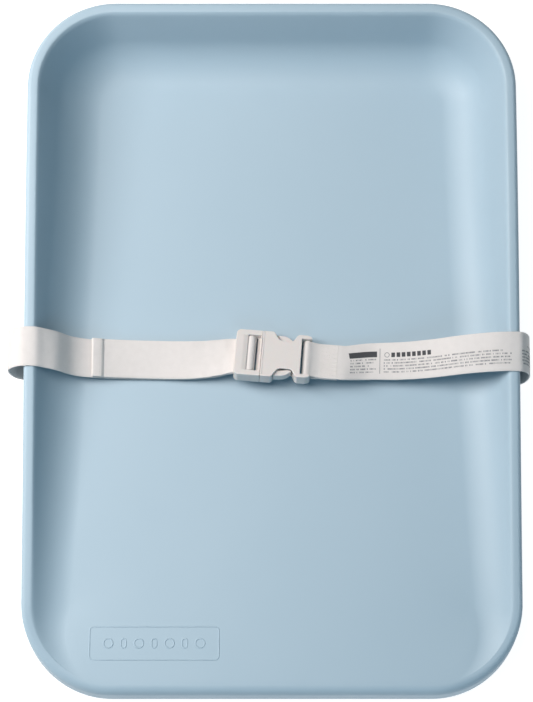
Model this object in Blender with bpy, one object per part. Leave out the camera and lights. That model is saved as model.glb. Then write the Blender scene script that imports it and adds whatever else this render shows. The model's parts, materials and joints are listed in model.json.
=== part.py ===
"""Changing pad: a moulded foam tray with a webbing strap and a side-release buckle.

Units are metres, +Z is up, +Y points to the head end and +X to the right. The origin
is under the middle of the tray, on the surface that it stands on.
"""

import math

import bmesh
import bpy
from mathutils import Matrix, Vector

MM = 0.001

# Tray
PAD_WIDTH = 500.0 * MM
PAD_LENGTH = 703.0 * MM
HEAD_HEIGHT = 100.0 * MM
FOOT_HEIGHT = 36.0 * MM
CORNER_RADIUS = 90.0 * MM
RIM_WIDTH = 11.4 * MM
RIM_ROUND = 4.6 * MM
FOOT_ROUND = 10.0 * MM
BASE_ROUND = 3.0 * MM
WALL_DRAFT = 2.0 * MM
RAIL_RISE_FROM = 130.0 * MM
RAIL_RISE_TO = 50.0 * MM
FLOOR_THICKNESS = 29.0 * MM
FLOOR_DISH = 3.0 * MM
WALL_SLOPE = math.radians(67.0)
WALL_FILLET = 49.0 * MM

# Feet and clearances
FOOT_PAD_RADIUS = 16.0 * MM
FOOT_PAD_THICKNESS = 1.4 * MM
FOOT_PAD_INSET = 58.0 * MM
FOOT_PAD_INSET_ENDS = 78.0 * MM
GAP = 0.3 * MM
BASE_Z = FOOT_PAD_THICKNESS + GAP

# Webbing
WEBBING_WIDTH = 40.0 * MM
WEBBING_THICKNESS = 1.5 * MM
CHANNEL_CLEARANCE = 2.0 * MM
CHANNEL_ROOM = 1.7 * MM
CHANNEL_DEPTH = WEBBING_THICKNESS + CHANNEL_ROOM
STRAP_Y_LEFT = -10.5 * MM
STRAP_Y_RIGHT = -16.0 * MM
STRAP_RISE = 4.2 * MM
STRAP_RISE_LEFT = 65.0 * MM
STRAP_RISE_RIGHT = 135.0 * MM
BULGE_LEFT = 17.5 * MM
BULGE_RIGHT = 11.5 * MM
TAIL_LENGTH = 132.0 * MM
TAIL_ROOM = 1.1 * MM
HEM_LENGTH = 10.5 * MM
LAP_LENGTH = 17.0 * MM
LAP_FROM_BAR = 15.0 * MM
LAP_LAYER = -0.5 * MM
LOAD_DROP = 2.6 * MM
TAIL_PASS_ROOM = 0.15 * MM
THREAD = 0.7 * MM
STITCH_MARGIN = 2.0 * MM
STITCH_TEETH = 14
HEM_STITCH_LENGTH = 4.0 * MM
LAP_STITCH_SHARE = 0.7

# Buckle, in its own frame: u along the strap, v across it, w up through it
SLOT_CLEARANCE = 0.75 * MM
SIDE_RAIL = 5.75 * MM
EAR_WALL = 4.05 * MM
BUCKLE_WIDTH = WEBBING_WIDTH + 2.0 * (SLOT_CLEARANCE + SIDE_RAIL)
BUCKLE_THICKNESS = 14.0 * MM
BUCKLE_YAW = math.radians(-4.5)
BUCKLE_ROLL = math.radians(-18.0)
BUCKLE_LIFT = 2.0 * MM
BUCKLE_SEAM_X = -10.5 * MM
BUCKLE_SEAM_Y = -9.9 * MM
PLUG_LENGTH = 27.0 * MM
PLUG_CORNER = 5.0 * MM
END_BAR = 10.0 * MM
FRONT_WALL = 5.0 * MM
CENTRE_BAR_RADIUS = 3.0 * MM
CENTRE_BAR_LIFT = 1.4 * MM
CENTRE_BAR_BACK = 11.2 * MM
PLUG_EDGE = 0.85 * MM
BAR_EMBED = 1.0 * MM
MOUTH_LENGTH = 11.4 * MM
MOUTH_WALL = 2.6 * MM
PLATE = 2.1 * MM
WAIST_HALF = BUCKLE_WIDTH / 2.0 - 10.4 * MM
WAIST_FROM = 19.0 * MM
WAIST_TO = 31.0 * MM
LUG_FROM = 36.2 * MM
LUG_HALF = WEBBING_WIDTH / 2.0 + SLOT_CLEARANCE + EAR_WALL
SLOT_AT = 40.2 * MM
SOCKET_LENGTH = 50.6 * MM
SOCKET_BAR_AT = 46.0 * MM
SOCKET_BAR_RADIUS = 2.5 * MM
SOCKET_EDGE = 0.7 * MM
CAVITY_END = 33.0 * MM
TONGUE_LENGTH = 26.0 * MM
TONGUE_HALF = 3.0 * MM
TONGUE_THICKNESS = 5.0 * MM
TONGUE_EMBED = 2.0 * MM
RIB_CLEARANCE = 1.0 * MM
RIB_WIDTH = 1.3 * MM
RIB_LENGTH = 18.0 * MM
RIB_AT = 17.0 * MM
PRONG_REACH = 31.4 * MM
PRONG_ARM = 3.2 * MM
PRONG_ROOT_INSET = 5.3 * MM
PRONG_GAP = 0.3 * MM
PRONG_SIDE_GAP = 0.6 * MM
PRONG_EDGE = 0.5 * MM

SKIN = (0.47, 0.60, 0.68)
WHITE_WEB = (0.82, 0.80, 0.78)
WHITE_PLASTIC = (0.80, 0.78, 0.76)
THREAD_WHITE = (0.86, 0.85, 0.83)
FOOT_GREY = (0.55, 0.57, 0.58)


def clear_scene():
    """Removes every object that is in the file."""
    for item in list(bpy.data.objects):
        bpy.data.objects.remove(item, do_unlink=True)


def finish(name, colour, roughness, metallic=0.0):
    """Makes a plain Principled material."""
    material = bpy.data.materials.new(name)
    material.use_nodes = True
    shader = material.node_tree.nodes["Principled BSDF"]
    shader.inputs["Base Color"].default_value = (*colour, 1.0)
    shader.inputs["Roughness"].default_value = roughness
    shader.inputs["Metallic"].default_value = metallic
    material.diffuse_color = (*colour, 1.0)
    return material


def add_object(name, mesh, material, matrix=None):
    """Puts a mesh in the scene under a name, placed by a matrix."""
    item = bpy.data.objects.new(name, mesh)
    bpy.context.scene.collection.objects.link(item)
    if material is not None:
        mesh.materials.append(material)
    if matrix is not None:
        item.matrix_world = matrix
    return item


def mesh_from(name, rows, faces):
    """Makes a mesh from points and faces, with its faces turned outward."""
    mesh = bpy.data.meshes.new(name)
    mesh.from_pydata([tuple(p) for p in rows], [], faces)
    work = bmesh.new()
    work.from_mesh(mesh)
    bmesh.ops.recalc_face_normals(work, faces=work.faces)
    if work.calc_volume(signed=True) < 0.0:
        bmesh.ops.reverse_faces(work, faces=work.faces)
    work.to_mesh(mesh)
    work.free()
    return mesh


def smooth(mesh, angle=35.0):
    """Shades a mesh smooth, with sharp edges kept past an angle in degrees."""
    mesh.shade_smooth()
    mesh.set_sharp_from_angle(angle=math.radians(angle))


def ease(t):
    """Goes from 0 to 1 with level ends."""
    t = min(max(t, 0.0), 1.0)
    return t * t * (3.0 - 2.0 * t)


def loft(name, rings, close_ends=True):
    """Joins rings of equal length into one closed skin."""
    count = len(rings[0])
    rows = [p for ring in rings for p in ring]
    faces = []
    for r in range(len(rings) - 1):
        for k in range(count):
            a = r * count + k
            b = r * count + (k + 1) % count
            faces.append((a, b, b + count, a + count))
    if close_ends:
        last = (len(rings) - 1) * count
        faces.append(tuple(range(count)))
        faces.append(tuple(range(last, last + count)))
    return mesh_from(name, rows, faces)


# The tray -----------------------------------------------------------------------

CORNER_STEPS = 9
SIDE_STEPS = 14
END_STEPS = 8
ROUND_STEPS = 4
WALL_STEPS = 9
FLOOR_STEPS = 5


def outline():
    """Walks round the tray's outer edge, as points with their inward directions."""
    half_x = PAD_WIDTH / 2.0
    half_y = PAD_LENGTH / 2.0
    centre_x = half_x - CORNER_RADIUS
    centre_y = half_y - CORNER_RADIUS
    corners = [(centre_x, centre_y, 0.0), (-centre_x, centre_y, 90.0)]
    corners += [(-centre_x, -centre_y, 180.0), (centre_x, -centre_y, 270.0)]
    walk = []
    for index, (cx, cy, start) in enumerate(corners):
        for step in range(CORNER_STEPS + 1):
            angle = math.radians(start + 90.0 * step / CORNER_STEPS)
            away = Vector((math.cos(angle), math.sin(angle)))
            walk.append((Vector((cx, cy)) + away * CORNER_RADIUS, -away))
        following = corners[(index + 1) % 4]
        edge = Vector((following[0] - cx, following[1] - cy))
        steps = END_STEPS if index % 2 == 0 else SIDE_STEPS
        anchor, inward = walk[-1]
        for step in range(1, steps):
            walk.append((anchor + edge * (step / steps), inward))
    return walk


def rail_height(y):
    """Gives the rail's top at a place along the tray, without the foot corners."""
    low = -PAD_LENGTH / 2.0 - RAIL_RISE_FROM
    high = PAD_LENGTH / 2.0 - RAIL_RISE_TO
    return FOOT_HEIGHT + (HEAD_HEIGHT - FOOT_HEIGHT) * ease((y - low) / (high - low))


def foot_fade(point):
    """Gives 1 on the sides and the head, falling to 0 round the foot corners."""
    corner_y = -PAD_LENGTH / 2.0 + CORNER_RADIUS
    if point.y >= corner_y:
        return 1.0
    sweep = math.asin(min((corner_y - point.y) / CORNER_RADIUS, 1.0)) / (math.pi / 2.0)
    return 1.0 - ease(sweep / 0.8)


def top_height(point):
    """Gives the height of the tray's edge at a point of its outline."""
    return FOOT_HEIGHT + (rail_height(point.y) - FOOT_HEIGHT) * foot_fade(point)


def floor_edge(point):
    """Gives the floor's height where it meets the wall below an outline point."""
    beside_wall = FLOOR_THICKNESS + FLOOR_DISH
    return FOOT_HEIGHT + (beside_wall - FOOT_HEIGHT) * foot_fade(point)


def wall_run(drop):
    """Gives the straight and the whole horizontal run of the inner wall for a drop."""
    fillet_drop = WALL_FILLET * (1.0 - math.cos(WALL_SLOPE))
    if drop > fillet_drop:
        straight = (drop - fillet_drop) / math.tan(WALL_SLOPE)
        return straight, straight + WALL_FILLET * math.sin(WALL_SLOPE)
    angle = math.acos(1.0 - drop / WALL_FILLET)
    return 0.0, WALL_FILLET * math.sin(angle)


def wall_drop(run, straight, total):
    """Gives how far the inner wall has fallen at a horizontal run from the rim."""
    if run < straight:
        return run * math.tan(WALL_SLOPE)
    fallen = straight * math.tan(WALL_SLOPE)
    start = total - straight
    rest = max(total - run, 0.0)
    high = WALL_FILLET - math.sqrt(WALL_FILLET**2 - start**2)
    low = WALL_FILLET - math.sqrt(WALL_FILLET**2 - rest**2)
    return fallen + high - low


def section(point):
    """Gives the tray's section at an outline point, as (inset, height) pairs."""
    top = top_height(point)
    fade = foot_fade(point)
    edge = FOOT_ROUND + (RIM_ROUND - FOOT_ROUND) * fade
    drop = max(top - floor_edge(point), 0.0)
    straight, total = wall_run(drop)
    pairs = [(BASE_ROUND - WALL_DRAFT, BASE_Z), (-WALL_DRAFT, BASE_Z + BASE_ROUND)]
    for step in range(ROUND_STEPS + 1):
        angle = math.pi / 2.0 * step / ROUND_STEPS
        pairs.append((edge * (1.0 - math.cos(angle)), top - edge * (1.0 - math.sin(angle))))
    pairs.append((RIM_WIDTH - 0.7 * (RIM_WIDTH - edge) * fade, top))
    pairs.append((RIM_WIDTH - 0.2 * (RIM_WIDTH - edge) * fade, top - 0.3 * MM * fade))
    for step in range(1, WALL_STEPS + 1):
        run = total * step / WALL_STEPS
        pairs.append((RIM_WIDTH + run, top - wall_drop(run, straight, total)))
    return sorted_insets(pairs)


def sorted_insets(pairs):
    """Keeps each pair of a section further in than the one before it."""
    kept = pairs[:2]
    for inset, height in pairs[2:]:
        kept.append((max(inset, kept[-1][0] + 0.05 * MM), height))
    return kept


def build_tray(material):
    """Makes the foam tray, with its webbing channel cut across the underside."""
    walk = outline()
    sections = [section(point) for point, _ in walk]
    rings = []
    for level in range(len(sections[0])):
        ring = []
        for (point, inward), pairs in zip(walk, sections):
            inset, height = pairs[level]
            place = point + inward * inset
            ring.append(Vector((place.x, place.y, height)))
        rings.append(ring)
    for step in range(1, FLOOR_STEPS):
        share = 1.0 - step / FLOOR_STEPS
        ring = []
        for corner in rings[len(sections[0]) - 1]:
            height = FLOOR_THICKNESS + (corner.z - FLOOR_THICKNESS) * share**2
            ring.append(Vector((corner.x * share, corner.y * share, height)))
        rings.append(ring)
    item = add_object("foam_pad", loft("foam_pad", rings), material)
    channel = block("channel_cutter", channel_size(), Matrix.Translation(channel_middle()))
    cut(item, channel)
    smooth(item.data, 40.0)
    return item


def straight_y(x):
    """Gives the strap's middle on the straight line from rim to rim, below the tray too."""
    share = (x + PAD_WIDTH / 2.0) / PAD_WIDTH
    return STRAP_Y_LEFT + STRAP_RISE + (STRAP_Y_RIGHT - STRAP_Y_LEFT) * share


def strap_y(x):
    """Gives the strap's middle above the tray, where it hangs towards the foot end."""
    inset = PAD_WIDTH / 2.0 - abs(x)
    start = STRAP_RISE_LEFT if x < 0.0 else STRAP_RISE_RIGHT
    risen = ease((start - inset) / (start - RIM_WIDTH / 2.0))
    return straight_y(x) - STRAP_RISE * (1.0 - risen)


def channel_size():
    """Gives the size of the webbing channel under the tray."""
    skew = abs(STRAP_Y_RIGHT - STRAP_Y_LEFT)
    width = WEBBING_WIDTH + skew + 2.0 * CHANNEL_CLEARANCE
    return Vector((PAD_WIDTH * 1.1, width, 2.0 * CHANNEL_DEPTH))


def channel_middle():
    """Gives the middle of the cutter that leaves the channel."""
    return Vector((0.0, straight_y(0.0), BASE_Z))


def block(name, size, matrix):
    """Makes a plain block of a size, used as a cutter or joined to a piece."""
    mesh = bpy.data.meshes.new(name)
    work = bmesh.new()
    bmesh.ops.create_cube(work, size=1.0)
    bmesh.ops.scale(work, vec=size, verts=work.verts)
    work.to_mesh(mesh)
    work.free()
    return add_object(name, mesh, None, matrix)


def rod(name, radius, length, matrix, steps=20):
    """Makes a rod that lies along its own Y."""
    mesh = bpy.data.meshes.new(name)
    work = bmesh.new()
    turn = Matrix.Rotation(math.pi / 2.0, 4, "X")
    bmesh.ops.create_cone(
        work, cap_ends=True, segments=steps, radius1=radius, radius2=radius, depth=length, matrix=turn
    )
    work.to_mesh(mesh)
    work.free()
    return add_object(name, mesh, None, matrix)


def combine(item, tool, operation):
    """Adds a Boolean with a tool object, and hides the tool."""
    tool.hide_render = True
    tool.display_type = "WIRE"
    modifier = item.modifiers.new(tool.name, "BOOLEAN")
    modifier.operation = operation
    modifier.object = tool
    modifier.solver = "EXACT"


def cut(item, tool):
    """Cuts a tool out of a piece."""
    combine(item, tool, "DIFFERENCE")


def join(item, tool):
    """Joins a tool to a piece."""
    combine(item, tool, "UNION")


def build_feet(material):
    """Makes the four non-slip discs under the corners."""
    reach_x = PAD_WIDTH / 2.0 - FOOT_PAD_INSET
    reach_y = PAD_LENGTH / 2.0 - FOOT_PAD_INSET_ENDS
    places = {"foot_pad_head_left": (-1, 1), "foot_pad_head_right": (1, 1)}
    places.update({"foot_pad_foot_left": (-1, -1), "foot_pad_foot_right": (1, -1)})
    steps = 28
    for name, (side, end) in places.items():
        rings = []
        levels = [(0.94, 0.0), (1.0, 0.25), (1.0, 0.75), (0.94, 1.0)]
        for share, rise in levels:
            ring = []
            for k in range(steps):
                angle = 2.0 * math.pi * k / steps
                radius = FOOT_PAD_RADIUS * share
                x = radius * math.cos(angle)
                y = radius * math.sin(angle)
                ring.append(Vector((x, y, FOOT_PAD_THICKNESS * rise)))
            rings.append(ring)
        mesh = loft(name, rings)
        smooth(mesh)
        matrix = Matrix.Translation((side * reach_x, end * reach_y, 0.0))
        add_object(name, mesh, material, matrix)


# The webbing --------------------------------------------------------------------


class Station:
    """A place on a webbing route: its middle and the direction across the webbing."""

    def __init__(self, place, across):
        self.place = Vector(place)
        self.across = Vector(across).normalized()


def rail_slope(y):
    """Gives how steeply the rail's top climbs towards the head."""
    step = 1.0 * MM
    return (rail_height(y + step) - rail_height(y - step)) / (2.0 * step)


def tray_station(x, z, y=None, lean=0.0):
    """Gives a station in the tray's frame, leaning by a share of the rail's slope."""
    place_y = strap_y(x) if y is None else y
    return Station((x, place_y, z), (0.0, 1.0, lean * rail_slope(place_y)))


def buckle_station(frame, u, w, v=0.0):
    """Gives a station in the buckle's frame."""
    return Station(frame @ Vector((u, v, w)), frame.to_3x3() @ Vector((0.0, 1.0, 0.0)))


def curve_point(points, index, t):
    """Gives a point of a centripetal Catmull-Rom curve through points."""
    before = points[max(index - 1, 0)]
    start = points[index]
    end = points[index + 1]
    after = points[min(index + 2, len(points) - 1)]
    if index == 0:
        before = start * 2.0 - end
    if index + 2 >= len(points):
        after = end * 2.0 - start
    knots = [0.0]
    for a, b in ((before, start), (start, end), (end, after)):
        knots.append(knots[-1] + max((b - a).length, 1e-9) ** 0.5)
    at = knots[1] + t * (knots[2] - knots[1])
    first = mix(before, start, knots[0], knots[1], at)
    second = mix(start, end, knots[1], knots[2], at)
    third = mix(end, after, knots[2], knots[3], at)
    left = mix(first, second, knots[0], knots[2], at)
    right = mix(second, third, knots[1], knots[3], at)
    return mix(left, right, knots[1], knots[2], at)


def mix(a, b, from_knot, to_knot, at):
    """Goes from a to b between two knots."""
    share = (at - from_knot) / (to_knot - from_knot)
    return a * (1.0 - share) + b * share


def route(stations, spacing=6.0 * MM):
    """Reads a smooth curve through stations, closer together where it bends."""
    points = [s.place for s in stations]
    result = []
    for index in range(len(points) - 1):
        length = (points[index + 1] - points[index]).length
        steps = max(1, round(length / spacing))
        for step in range(steps):
            t = step / steps
            across = stations[index].across.lerp(stations[index + 1].across, t)
            result.append(Station(curve_point(points, index, t), across))
    result.append(stations[-1])
    return result


def normal_at(stations, index):
    """Gives the direction through the webbing's thickness at a station."""
    before = stations[max(index - 1, 0)].place
    after = stations[min(index + 1, len(stations) - 1)].place
    along = (after - before).normalized()
    return along.cross(stations[index].across).normalized()


def webbing(name, stations, material, width=WEBBING_WIDTH, thickness=WEBBING_THICKNESS):
    """Makes a flat band that follows a route."""
    rings = []
    for index, station in enumerate(stations):
        up = normal_at(stations, index) * (thickness / 2.0)
        side = station.across * (width / 2.0)
        corners = [side + up, side - up, -side - up, -side + up]
        rings.append([station.place + corner for corner in corners])
    mesh = loft(name, rings)
    smooth(mesh, 50.0)
    return add_object(name, mesh, material)


def offset(stations, distance):
    """Moves each station of a route through the webbing's thickness."""
    moved = []
    for index, station in enumerate(stations):
        place = station.place + normal_at(stations, index) * distance
        moved.append(Station(place, station.across))
    return moved


def rim_top(side):
    """Gives the height of the webbing's middle where it crosses the rim."""
    return rail_height(straight_y(side * PAD_WIDTH / 2.0)) + GAP + WEBBING_THICKNESS / 2.0


def outside_stations(side, bulge):
    """Gives the stations from the rim's top down the outside to the channel."""
    half = PAD_WIDTH / 2.0
    top = rim_top(side)
    under = BASE_Z + WEBBING_THICKNESS / 2.0
    out = half + bulge
    places = [(half - RIM_WIDTH * 0.5, top, 1.0), (half + bulge * 0.15, top - 1.3 * MM, 1.0)]
    places += [(half + bulge * 0.62, top - 9.0 * MM, 0.8), (out, top * 0.68, 0.4)]
    places += [(out + 0.4 * MM, top * 0.42, 0.2), (half + bulge * 0.80, top * 0.17, 0.0)]
    places += [(half + bulge * 0.42, under + 2.6 * MM, 0.0), (half - WALL_DRAFT * 2.0, under, 0.0)]
    places += [(half - RIM_WIDTH, under, 0.0)]
    return [tray_station(side * x, z, straight_y(side * x), lean) for x, z, lean in places]


def left_stations(frame):
    """Gives the load side of the adjuster, then the run to the left rim."""
    half = PAD_WIDTH / 2.0
    floor = FLOOR_THICKNESS
    top = rim_top(-1)
    start = [buckle_station(frame, u, w) for u, w in load_points()]
    run = [
        tray_station(-60.0 * MM, floor + 8.4 * MM, STRAP_Y_LEFT - 1.0 * MM),
        tray_station(-84.0 * MM, floor + 6.0 * MM, STRAP_Y_LEFT - 1.9 * MM),
        tray_station(-118.0 * MM, floor + 4.2 * MM),
        tray_station(-half + 90.0 * MM, floor + FLOOR_DISH + 2.0 * MM),
        tray_station(-half + 66.0 * MM, floor + FLOOR_DISH + 6.0 * MM),
        tray_station(-half + 47.0 * MM, floor + FLOOR_DISH + 15.0 * MM, lean=0.3),
        tray_station(-half + 32.0 * MM, floor + 0.62 * (top - floor), lean=0.6),
        tray_station(-half + 20.0 * MM, floor + 0.86 * (top - floor), lean=0.9),
        tray_station(-half + 12.5 * MM, top - 0.9 * MM, lean=1.0),
    ]
    return start + run + outside_stations(-1, BULGE_LEFT)


def bar_reach():
    """Gives the radius of the webbing's middle where it wraps the plug's centre bar."""
    return CENTRE_BAR_RADIUS + GAP + WEBBING_THICKNESS / 2.0


def load_points():
    """Gives the webbing inside the plug, from over its centre bar to its back."""
    radius = bar_reach()
    points = []
    for degrees in (182.0, 150.0, 120.0, 90.0, 60.0, 30.0, 0.0, -28.0):
        angle = math.radians(degrees)
        u = -CENTRE_BAR_BACK + radius * math.cos(angle)
        points.append((u, CENTRE_BAR_LIFT + radius * math.sin(angle)))
    low = load_layer()
    points.append((-CENTRE_BAR_BACK + 1.6 * MM, low + 0.5 * MM))
    points.append((-CENTRE_BAR_BACK - 1.5 * MM, low))
    points.append((-PLUG_LENGTH, low))
    return points


def load_layer():
    """Gives the height of the load-side webbing under the plug's bars."""
    return CENTRE_BAR_LIFT - bar_reach() - LOAD_DROP


def tail_layer():
    """Gives the height of the tail between the load side and the end bar."""
    return load_layer() + WEBBING_THICKNESS + GAP + TAIL_PASS_ROOM


def tail_stations(frame, run):
    """Gives the tail: down through the plug's rear slot and back over the load side."""
    low = tail_layer()
    rear = -CENTRE_BAR_BACK - bar_reach()
    inside = [(rear - 0.1 * MM, CENTRE_BAR_LIFT - 1.0 * MM), (rear - 0.3 * MM, low + 1.5 * MM)]
    inside += [(rear - 1.2 * MM, low + 0.3 * MM), (rear - 3.2 * MM, low)]
    inside += [(-PLUG_LENGTH - 1.5 * MM, low)]
    start = [buckle_station(frame, u, w) for u, w in inside]
    back = offset(run, -(WEBBING_THICKNESS + TAIL_ROOM))
    edge = start[-1].place.x - 12.0 * MM
    over = [s for s in back if edge > s.place.x > edge - TAIL_LENGTH and on_the_floor_side(s)]
    return start + over[::3]


def on_the_floor_side(station):
    """Says if a station is above the tray rather than under or beside it."""
    return station.place.z > FLOOR_THICKNESS and abs(station.place.x) < PAD_WIDTH / 2.0


def hem_stations(stations):
    """Folds the tail's end up and back over itself."""
    end = stations[-1].place
    along = (end - stations[-2].place).normalized()
    up = -normal_at(stations, len(stations) - 1)
    radius = WEBBING_THICKNESS / 2.0 + 0.2 * MM
    across = stations[-1].across
    fold = []
    for degrees in (-45.0, 0.0, 45.0, 90.0):
        angle = math.radians(degrees)
        turn = along * (math.cos(angle) * radius) + up * (radius + math.sin(angle) * radius)
        fold.append(Station(end + turn, across))
    fold.append(Station(fold[-1].place - along * HEM_LENGTH, across))
    return fold


def right_stations(frame):
    """Gives the run from the sewn lap to the right rim and down the outside."""
    half = PAD_WIDTH / 2.0
    top = rim_top(1)
    floor = FLOOR_THICKNESS
    start = [buckle_station(frame, lap_end() + GAP, LAP_LAYER)]
    start.append(buckle_station(frame, lap_end() + 6.0 * MM, LAP_LAYER - 0.2 * MM))
    run = [
        tray_station(half - 150.0 * MM, floor + 11.5 * MM),
        tray_station(half - 118.0 * MM, floor + 0.31 * (top - floor)),
        tray_station(half - 88.0 * MM, floor + 0.48 * (top - floor)),
        tray_station(half - 60.0 * MM, floor + 0.74 * (top - floor), lean=0.5),
        tray_station(half - 38.0 * MM, floor + 0.90 * (top - floor), lean=0.8),
        tray_station(half - 20.0 * MM, top - 0.7 * MM, lean=1.0),
    ]
    return start + run + outside_stations(1, BULGE_RIGHT)


def loop_reach():
    """Gives the radius of the webbing's middle where it wraps the socket's bar."""
    return SOCKET_BAR_RADIUS + GAP + WEBBING_THICKNESS / 2.0


def lap_end():
    """Gives the end of the sewn lap along the buckle's frame."""
    return SOCKET_BAR_AT + LAP_FROM_BAR + LAP_LENGTH


def loop_stations(frame):
    """Gives the sewn loop: the lap's lower layer, round the bar, and its upper layer."""
    radius = loop_reach()
    upper = LAP_LAYER
    lower = upper - WEBBING_THICKNESS - 1.4 * GAP
    bar = SOCKET_BAR_AT
    pairs = [(lap_end(), lower), (bar + 14.0 * MM, lower), (bar + 8.0 * MM, lower - 0.5 * MM)]
    for degrees in (-75.0, -115.0, -150.0, 180.0, 145.0, 110.0, 75.0):
        angle = math.radians(degrees)
        pairs.append((bar + radius * math.cos(angle), radius * math.sin(angle)))
    pairs += [(bar + 6.5 * MM, upper + 1.7 * MM), (bar + 14.0 * MM, upper), (lap_end(), upper)]
    return [buckle_station(frame, u, w) for u, w in pairs]


def under_stations():
    """Gives the stretch that crosses below the tray, in its channel."""
    reach = PAD_WIDTH / 2.0 - RIM_WIDTH - GAP
    height = BASE_Z + WEBBING_THICKNESS / 2.0
    return [tray_station(x, height, straight_y(x)) for x in (-reach, 0.0, reach)]


def zigzag(name, middle, along, across, up, size, material, teeth=STITCH_TEETH):
    """Makes a zigzag of thread as one thin body, lying on a surface."""
    length, width = size
    points = []
    for k in range(teeth + 1):
        side = -0.5 if k % 2 == 0 else 0.5
        share = k / teeth - 0.5
        points.append(middle + along * (length * side) + across * (width * share))
    rise = up * THREAD
    rings = []
    for k, point in enumerate(points):
        before = points[k] - points[k - 1] if k > 0 else points[1] - points[0]
        after = points[k + 1] - points[k] if k < teeth else before
        left = up.cross(before).normalized()
        mitre = (left + up.cross(after).normalized()).normalized()
        reach = mitre * (THREAD / 2.0 / mitre.dot(left))
        rings.append([point + reach, point + reach + rise, point - reach + rise, point - reach])
    return add_object(name, loft(name, rings), material)


def build_webbing(frame, web, thread):
    """Makes the five lengths of webbing and the two rows of thread."""
    left = route(left_stations(frame))
    webbing("webbing_left", left, web)
    tail = route(tail_stations(frame, left))
    folded = hem_stations(tail)
    webbing("webbing_tail", tail + folded, web)
    webbing("webbing_right", route(right_stations(frame)), web)
    webbing("webbing_under", under_stations(), web)
    webbing("webbing_socket_loop", route(loop_stations(frame), 4.0 * MM), web)
    hem = (folded[-1].place + folded[-2].place) / 2.0
    along = (folded[-2].place - folded[-1].place).normalized()
    across = folded[-1].across
    up = across.cross(along).normalized()
    if up.z < 0.0:
        up = -up
    lift = WEBBING_THICKNESS / 2.0 + GAP
    width = WEBBING_WIDTH - 2.0 * STITCH_MARGIN
    size = (HEM_STITCH_LENGTH, width)
    zigzag("tail_hem_stitching", hem + up * lift, along, across, up, size, thread)
    turn = frame.to_3x3()
    lap = frame @ Vector((lap_end() - LAP_LENGTH / 2.0, 0.0, LAP_LAYER + lift))
    directions = [turn @ Vector(v) for v in ((1, 0, 0), (0, 1, 0), (0, 0, 1))]
    zigzag("lap_stitching", lap, *directions, (LAP_LENGTH * LAP_STITCH_SHARE, width), thread)


# The buckle ---------------------------------------------------------------------


def arc(cx, cy, radius, start, end, steps):
    """Gives points on an arc, in degrees."""
    points = []
    for step in range(steps + 1):
        angle = math.radians(start + (end - start) * step / steps)
        points.append(Vector((cx + radius * math.cos(angle), cy + radius * math.sin(angle))))
    return points


def inset_outline(points, distance):
    """Moves a counter-clockwise outline inward by a distance."""
    moved = []
    count = len(points)
    for k, point in enumerate(points):
        before = (point - points[k - 1]).normalized()
        after = (points[(k + 1) % count] - point).normalized()
        turned = Vector((-before.y - after.y, before.x + after.x))
        turned.normalize()
        shrink = max(turned.dot(Vector((-before.y, before.x))), 0.35)
        moved.append(point + turned * (distance / shrink))
    return moved


def slab(name, points, half_height, edge):
    """Makes a flat body from an outline, with rounded upper and lower edges."""
    levels = [(-half_height, edge), (-half_height + edge * 0.3, edge * 0.3)]
    levels += [(-half_height + edge, 0.0), (half_height - edge, 0.0)]
    levels += [(half_height - edge * 0.3, edge * 0.3), (half_height, edge)]
    rings = []
    for height, distance in levels:
        shrunk = inset_outline(points, distance)
        rings.append([Vector((p.x, p.y, height)) for p in shrunk])
    return loft(name, rings)


def place_in(frame, u, v, w):
    """Gives the matrix of a point in the buckle's frame."""
    return frame @ Matrix.Translation((u, v, w))


def plug_outline():
    """Gives the plug's outline: square at the seam, rounded at the back."""
    half = BUCKLE_WIDTH / 2.0
    back = -PLUG_LENGTH + PLUG_CORNER
    front = -GAP
    points = arc(back, -half + PLUG_CORNER, PLUG_CORNER, 180.0, 270.0, 5)
    points += arc(front - 1.0 * MM, -half + 1.0 * MM, 1.0 * MM, 270.0, 360.0, 2)
    points += arc(front - 1.0 * MM, half - 1.0 * MM, 1.0 * MM, 0.0, 90.0, 2)
    points += arc(back, half - PLUG_CORNER, PLUG_CORNER, 90.0, 180.0, 5)
    return points


def build_plug(frame, material):
    """Makes the plug: a frame with two bars for the webbing, and a guide tongue."""
    half_height = BUCKLE_THICKNESS / 2.0
    mesh = slab("buckle_plug", plug_outline(), half_height, PLUG_EDGE)
    item = add_object("buckle_plug", mesh, material, frame.copy())
    opening = WEBBING_WIDTH + 2.0 * SLOT_CLEARANCE
    rear = -PLUG_LENGTH + END_BAR
    front = -FRONT_WALL
    well = Vector((front - rear, opening, BUCKLE_THICKNESS * 1.2))
    cut(item, block("plug_well", well, place_in(frame, (front + rear) / 2.0, 0.0, 0.0)))
    ceiling = tail_layer() + WEBBING_THICKNESS / 2.0 + 0.4 * MM
    depth = ceiling + half_height
    below = Vector((END_BAR * 1.5, opening, depth * 2.0))
    cut(item, block("plug_underpass", below, place_in(frame, rear - END_BAR * 0.7, 0.0, -half_height)))
    bar_place = place_in(frame, -CENTRE_BAR_BACK, 0.0, CENTRE_BAR_LIFT)
    join(item, rod("plug_centre_bar", CENTRE_BAR_RADIUS, opening + 2.0 * BAR_EMBED, bar_place))
    tongue = Vector((TONGUE_LENGTH + TONGUE_EMBED, TONGUE_HALF * 2.0, TONGUE_THICKNESS))
    middle = place_in(frame, (TONGUE_LENGTH - TONGUE_EMBED) / 2.0, 0.0, 0.0)
    join(item, block("plug_tongue", tongue, middle))
    smooth(item.data)
    return item


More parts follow.
